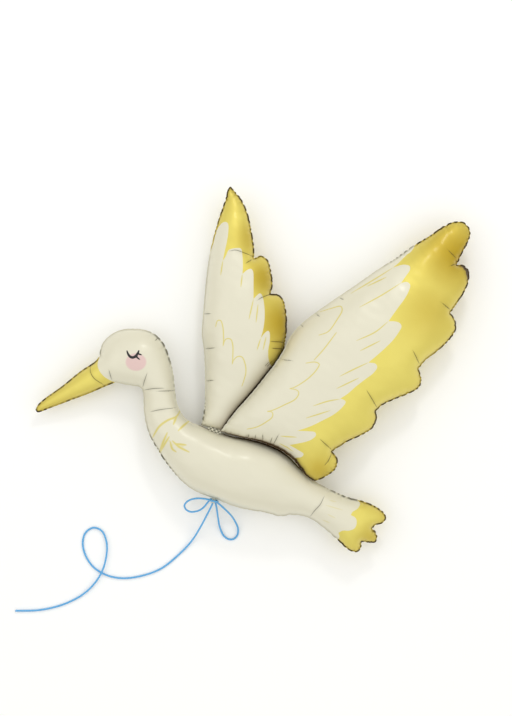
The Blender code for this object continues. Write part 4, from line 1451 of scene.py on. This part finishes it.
class STORK_OT_ribbon(bpy.types.Operator):
    """Makes the ribbon: its tail on the floor, the two loops of its bow and the knot round the stem"""

    bl_idname = "stork.ribbon"
    bl_label = "Ribbon"

    def execute(self, context):
        ribbon = context.scene.stork_ribbon
        radius = ribbon.diameter / 2
        knot = self.add_knot(radius)
        lowest = radius + FLOOR_CLEARANCE
        routes = {
            "ribbon_tail": tail_route(),
            "ribbon_bow_left": bow_route(BOW_LEFT, BOW_LEFT_ENDS),
            "ribbon_bow_right": bow_route(BOW_RIGHT, BOW_RIGHT_ENDS),
        }
        for node, route in routes.items():
            path = evenly(smooth_run(route), CORD_STEP)
            path[:, 2] = np.maximum(path[:, 2], lowest)
            is_tail = node == "ribbon_tail"
            piece = cord_piece(node + "_cord", path, self.cord_radius(path, radius, is_tail), node)
        return {"FINISHED"}

    def cord_radius(self, path, radius, is_tail):
        """Even along the cord, and at the tail's end the small bead where it was sealed by heat."""
        if not is_tail:
            return radius
        left = lengths_along(path)[-1] - lengths_along(path)
        bead = 1 + BEAD_SWELL * np.exp(-(((left - BEAD_PLACE) / BEAD_LENGTH) ** 2))
        return radius * bead * np.where(left < TIP_LENGTH, TIP_SHARE, 1.0)

    def add_knot(self, radius):
        """Two turns of the cord round the stem that cross each other above it.

        Over two turns the cord swings from one side of the knot to the other and climbs over itself.
        """
        middle, out, side, up = knot_axes()
        u = np.linspace(0, 4 * math.pi, KNOT_STEPS, endpoint=False)[:, None]
        reach = wrap_radius() + radius * (1 - np.cos(u / 2))
        swing = out * np.sin(u / 2) * radius * KNOT_SWING
        path = middle + (up * np.cos(u) + side * np.sin(u)) * reach + swing
        return cord_piece("ribbon_knot_cord", path, radius, "ribbon_knot", is_closed=True)


class STORK_OT_body(bpy.types.Operator):
    """Makes the body's films: beak, head, neck, breast, tail and the filler stem"""

    bl_idname = "stork.body"
    bl_label = "Body"

    def execute(self, context):
        swell = context.scene.stork_film.body_swell
        inflated("body_envelope", body_runs(), swell, BODY_PUCKERS, BODY_CREASES, BodyPrint(), BODY_VALLEY_SHADE)
        return {"FINISHED"}


class STORK_OT_wings(bpy.types.Operator):
    """Makes the films of the far wing, and then of the near wing, which leans on it and on the body"""

    bl_idname = "stork.wings"
    bl_label = "Wings"

    def execute(self, context):
        film = context.scene.stork_film
        far_print = WingPrint(FAR_TIPS, FAR_SIDE, FAR_STROKES, FAR_COVERTS)
        runs = [placed(run) for run in FAR_WING]
        far = inflated("far_wing", runs, film.far_swell, FAR_PUCKERS, FAR_CREASES, far_print, FAR_VALLEY_SHADE)
        near_print = WingPrint(NEAR_TIPS, NEAR_SIDE, NEAR_STROKES, NEAR_COVERTS)
        runs = [placed(run) for run in NEAR_WING]
        lower = [far, bpy.data.objects["body_envelope_film"]]
        swell = film.near_swell
        inflated("near_wing", runs, swell, NEAR_PUCKERS, NEAR_CREASES, near_print, NEAR_VALLEY_SHADE, lower)
        return {"FINISHED"}


class STORK_OT_patch(bpy.types.Operator):
    """Makes the crimped patch that welds the two wings to the body's back"""

    bl_idname = "stork.patch"
    bl_label = "Weld patch"

    def execute(self, context):
        low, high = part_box("wing_weld_patch")
        level, half_thickness = (low.z + high.z) / 2, (high.z - low.z) / 2 * PATCH_THINNED
        u, v = np.meshgrid(np.linspace(-1, 1, PATCH_COLUMNS), np.linspace(-1, 1, PATCH_ROWS), indexing="ij")
        x, y = self.rounded(u, v)
        cos, sin = math.cos(PATCH_TURN), math.sin(PATCH_TURN)
        flat = np.stack([x.ravel(), y.ravel()], axis=1) @ [[cos, sin], [-sin, cos]] + placed(PATCH_PLACE)
        fold = self.crimp(x, y)
        rise = (CRIMP_HEIGHT * (fold - 0.5) * (1 - v**8)).ravel()
        top = np.column_stack([flat, level + half_thickness + rise])
        bottom = np.column_stack([flat, level - half_thickness + rise])
        vertices, faces = np.vstack([top, bottom]), self.two_grids().tolist()
        piece = new_piece(
            "weld_patch_film", vertices, faces, crimped_film(), ["wing_weld_patch"], "printed_foil")
        fix_outward(piece.data)
        # Painted shade: dark lines at the bottoms of the crimp's folds, and a darker edge.
        start, full = CRIMP_DARK
        crimp_shade = np.clip((start - fold) / (start - full), 0, 1)
        start, full = PATCH_EDGE_DARK
        edge_shade = np.clip((np.maximum(np.abs(u), np.abs(v)) - start) / (full - start), 0, 1)
        groove = np.maximum(crimp_shade, edge_shade * PATCH_EDGE_SHADE).ravel()
        add_attribute(piece.data, "groove", np.tile(groove, 2))
        return {"FINISHED"}

    def rounded(self, u, v):
        """The grid's places on a strip whose width follows a circle past its straight part."""
        half_length, half_width = PATCH_LENGTH / 2, PATCH_WIDTH / 2
        past_straight = np.clip((np.abs(u) * half_length - (half_length - half_width)) / half_width, 0, 1)
        return u * half_length, v * half_width * np.sqrt(np.clip(1 - past_straight**2, 0.02, 1))

    def crimp(self, x, y):
        """How far each place is from the nearest fold's bottom, up to 1: two sets of slanting waves."""
        rising, falling = (np.abs(np.sin(math.pi * (x + way * y) / CRIMP_PITCH)) for way in (1, -1))
        return np.minimum(rising, falling)

    def two_grids(self):
        """The quads of two like grids, one above the other, with a wall round their edge."""
        n = PATCH_COLUMNS * PATCH_ROWS
        index = np.arange(n).reshape(PATCH_COLUMNS, PATCH_ROWS)
        corners = [index[:-1, :-1], index[1:, :-1], index[1:, 1:], index[:-1, 1:]]
        upper = np.stack(corners, axis=2).reshape(-1, 4)
        edge = np.concatenate([index[:, 0], index[-1, 1:], index[-2::-1, -1], index[0, -2:0:-1]])
        ahead = np.roll(edge, -1)
        wall = np.stack([edge, edge + n, ahead + n, ahead], axis=1)
        return np.vstack([upper, upper[:, ::-1] + n, wall])


class STORK_PT_panel(bpy.types.Panel):
    """The balloon's sizes and colours, and a button for each group of pieces"""

    bl_idname = "STORK_PT_panel"
    bl_label = "Stork foil balloon"
    bl_space_type = "VIEW_3D"
    bl_region_type = "UI"
    bl_category = "Stork"

    def draw(self, context):
        for operator in OPERATORS:
            self.layout.operator(operator.bl_idname)
        for group in SETTINGS:
            box = self.layout.box()
            settings = getattr(context.scene, group)
            for name in settings.bl_rna.properties.keys():
                if name not in ("rna_type", "name"):
                    box.prop(settings, name)


SETTINGS = {
    "stork_film": StorkFilmSettings,
    "stork_ribbon": StorkRibbonSettings,
    "stork_stage": StorkStageSettings,
}
OPERATORS = (STORK_OT_stage, STORK_OT_ribbon, STORK_OT_body, STORK_OT_wings, STORK_OT_patch)


def register():
    """Gives scenes the settings, and Blender the operators and the panel."""
    for group, settings in SETTINGS.items():
        bpy.utils.register_class(settings)
        setattr(bpy.types.Scene, group, PointerProperty(type=settings))
    for shown in (*OPERATORS, STORK_PT_panel):
        bpy.utils.register_class(shown)


def unregister():
    """Takes away what register gave."""
    for shown in (STORK_PT_panel, *reversed(OPERATORS)):
        bpy.utils.unregister_class(shown)
    for group, settings in SETTINGS.items():
        delattr(bpy.types.Scene, group)
        bpy.utils.unregister_class(settings)


def main():
    """Makes every piece in order."""
    register()
    bpy.ops.stork.stage()
    bpy.ops.stork.ribbon()
    bpy.ops.stork.body()
    bpy.ops.stork.wings()
    bpy.ops.stork.patch()
    bpy.context.view_layer.update()


if __name__ == "__main__":
    main()
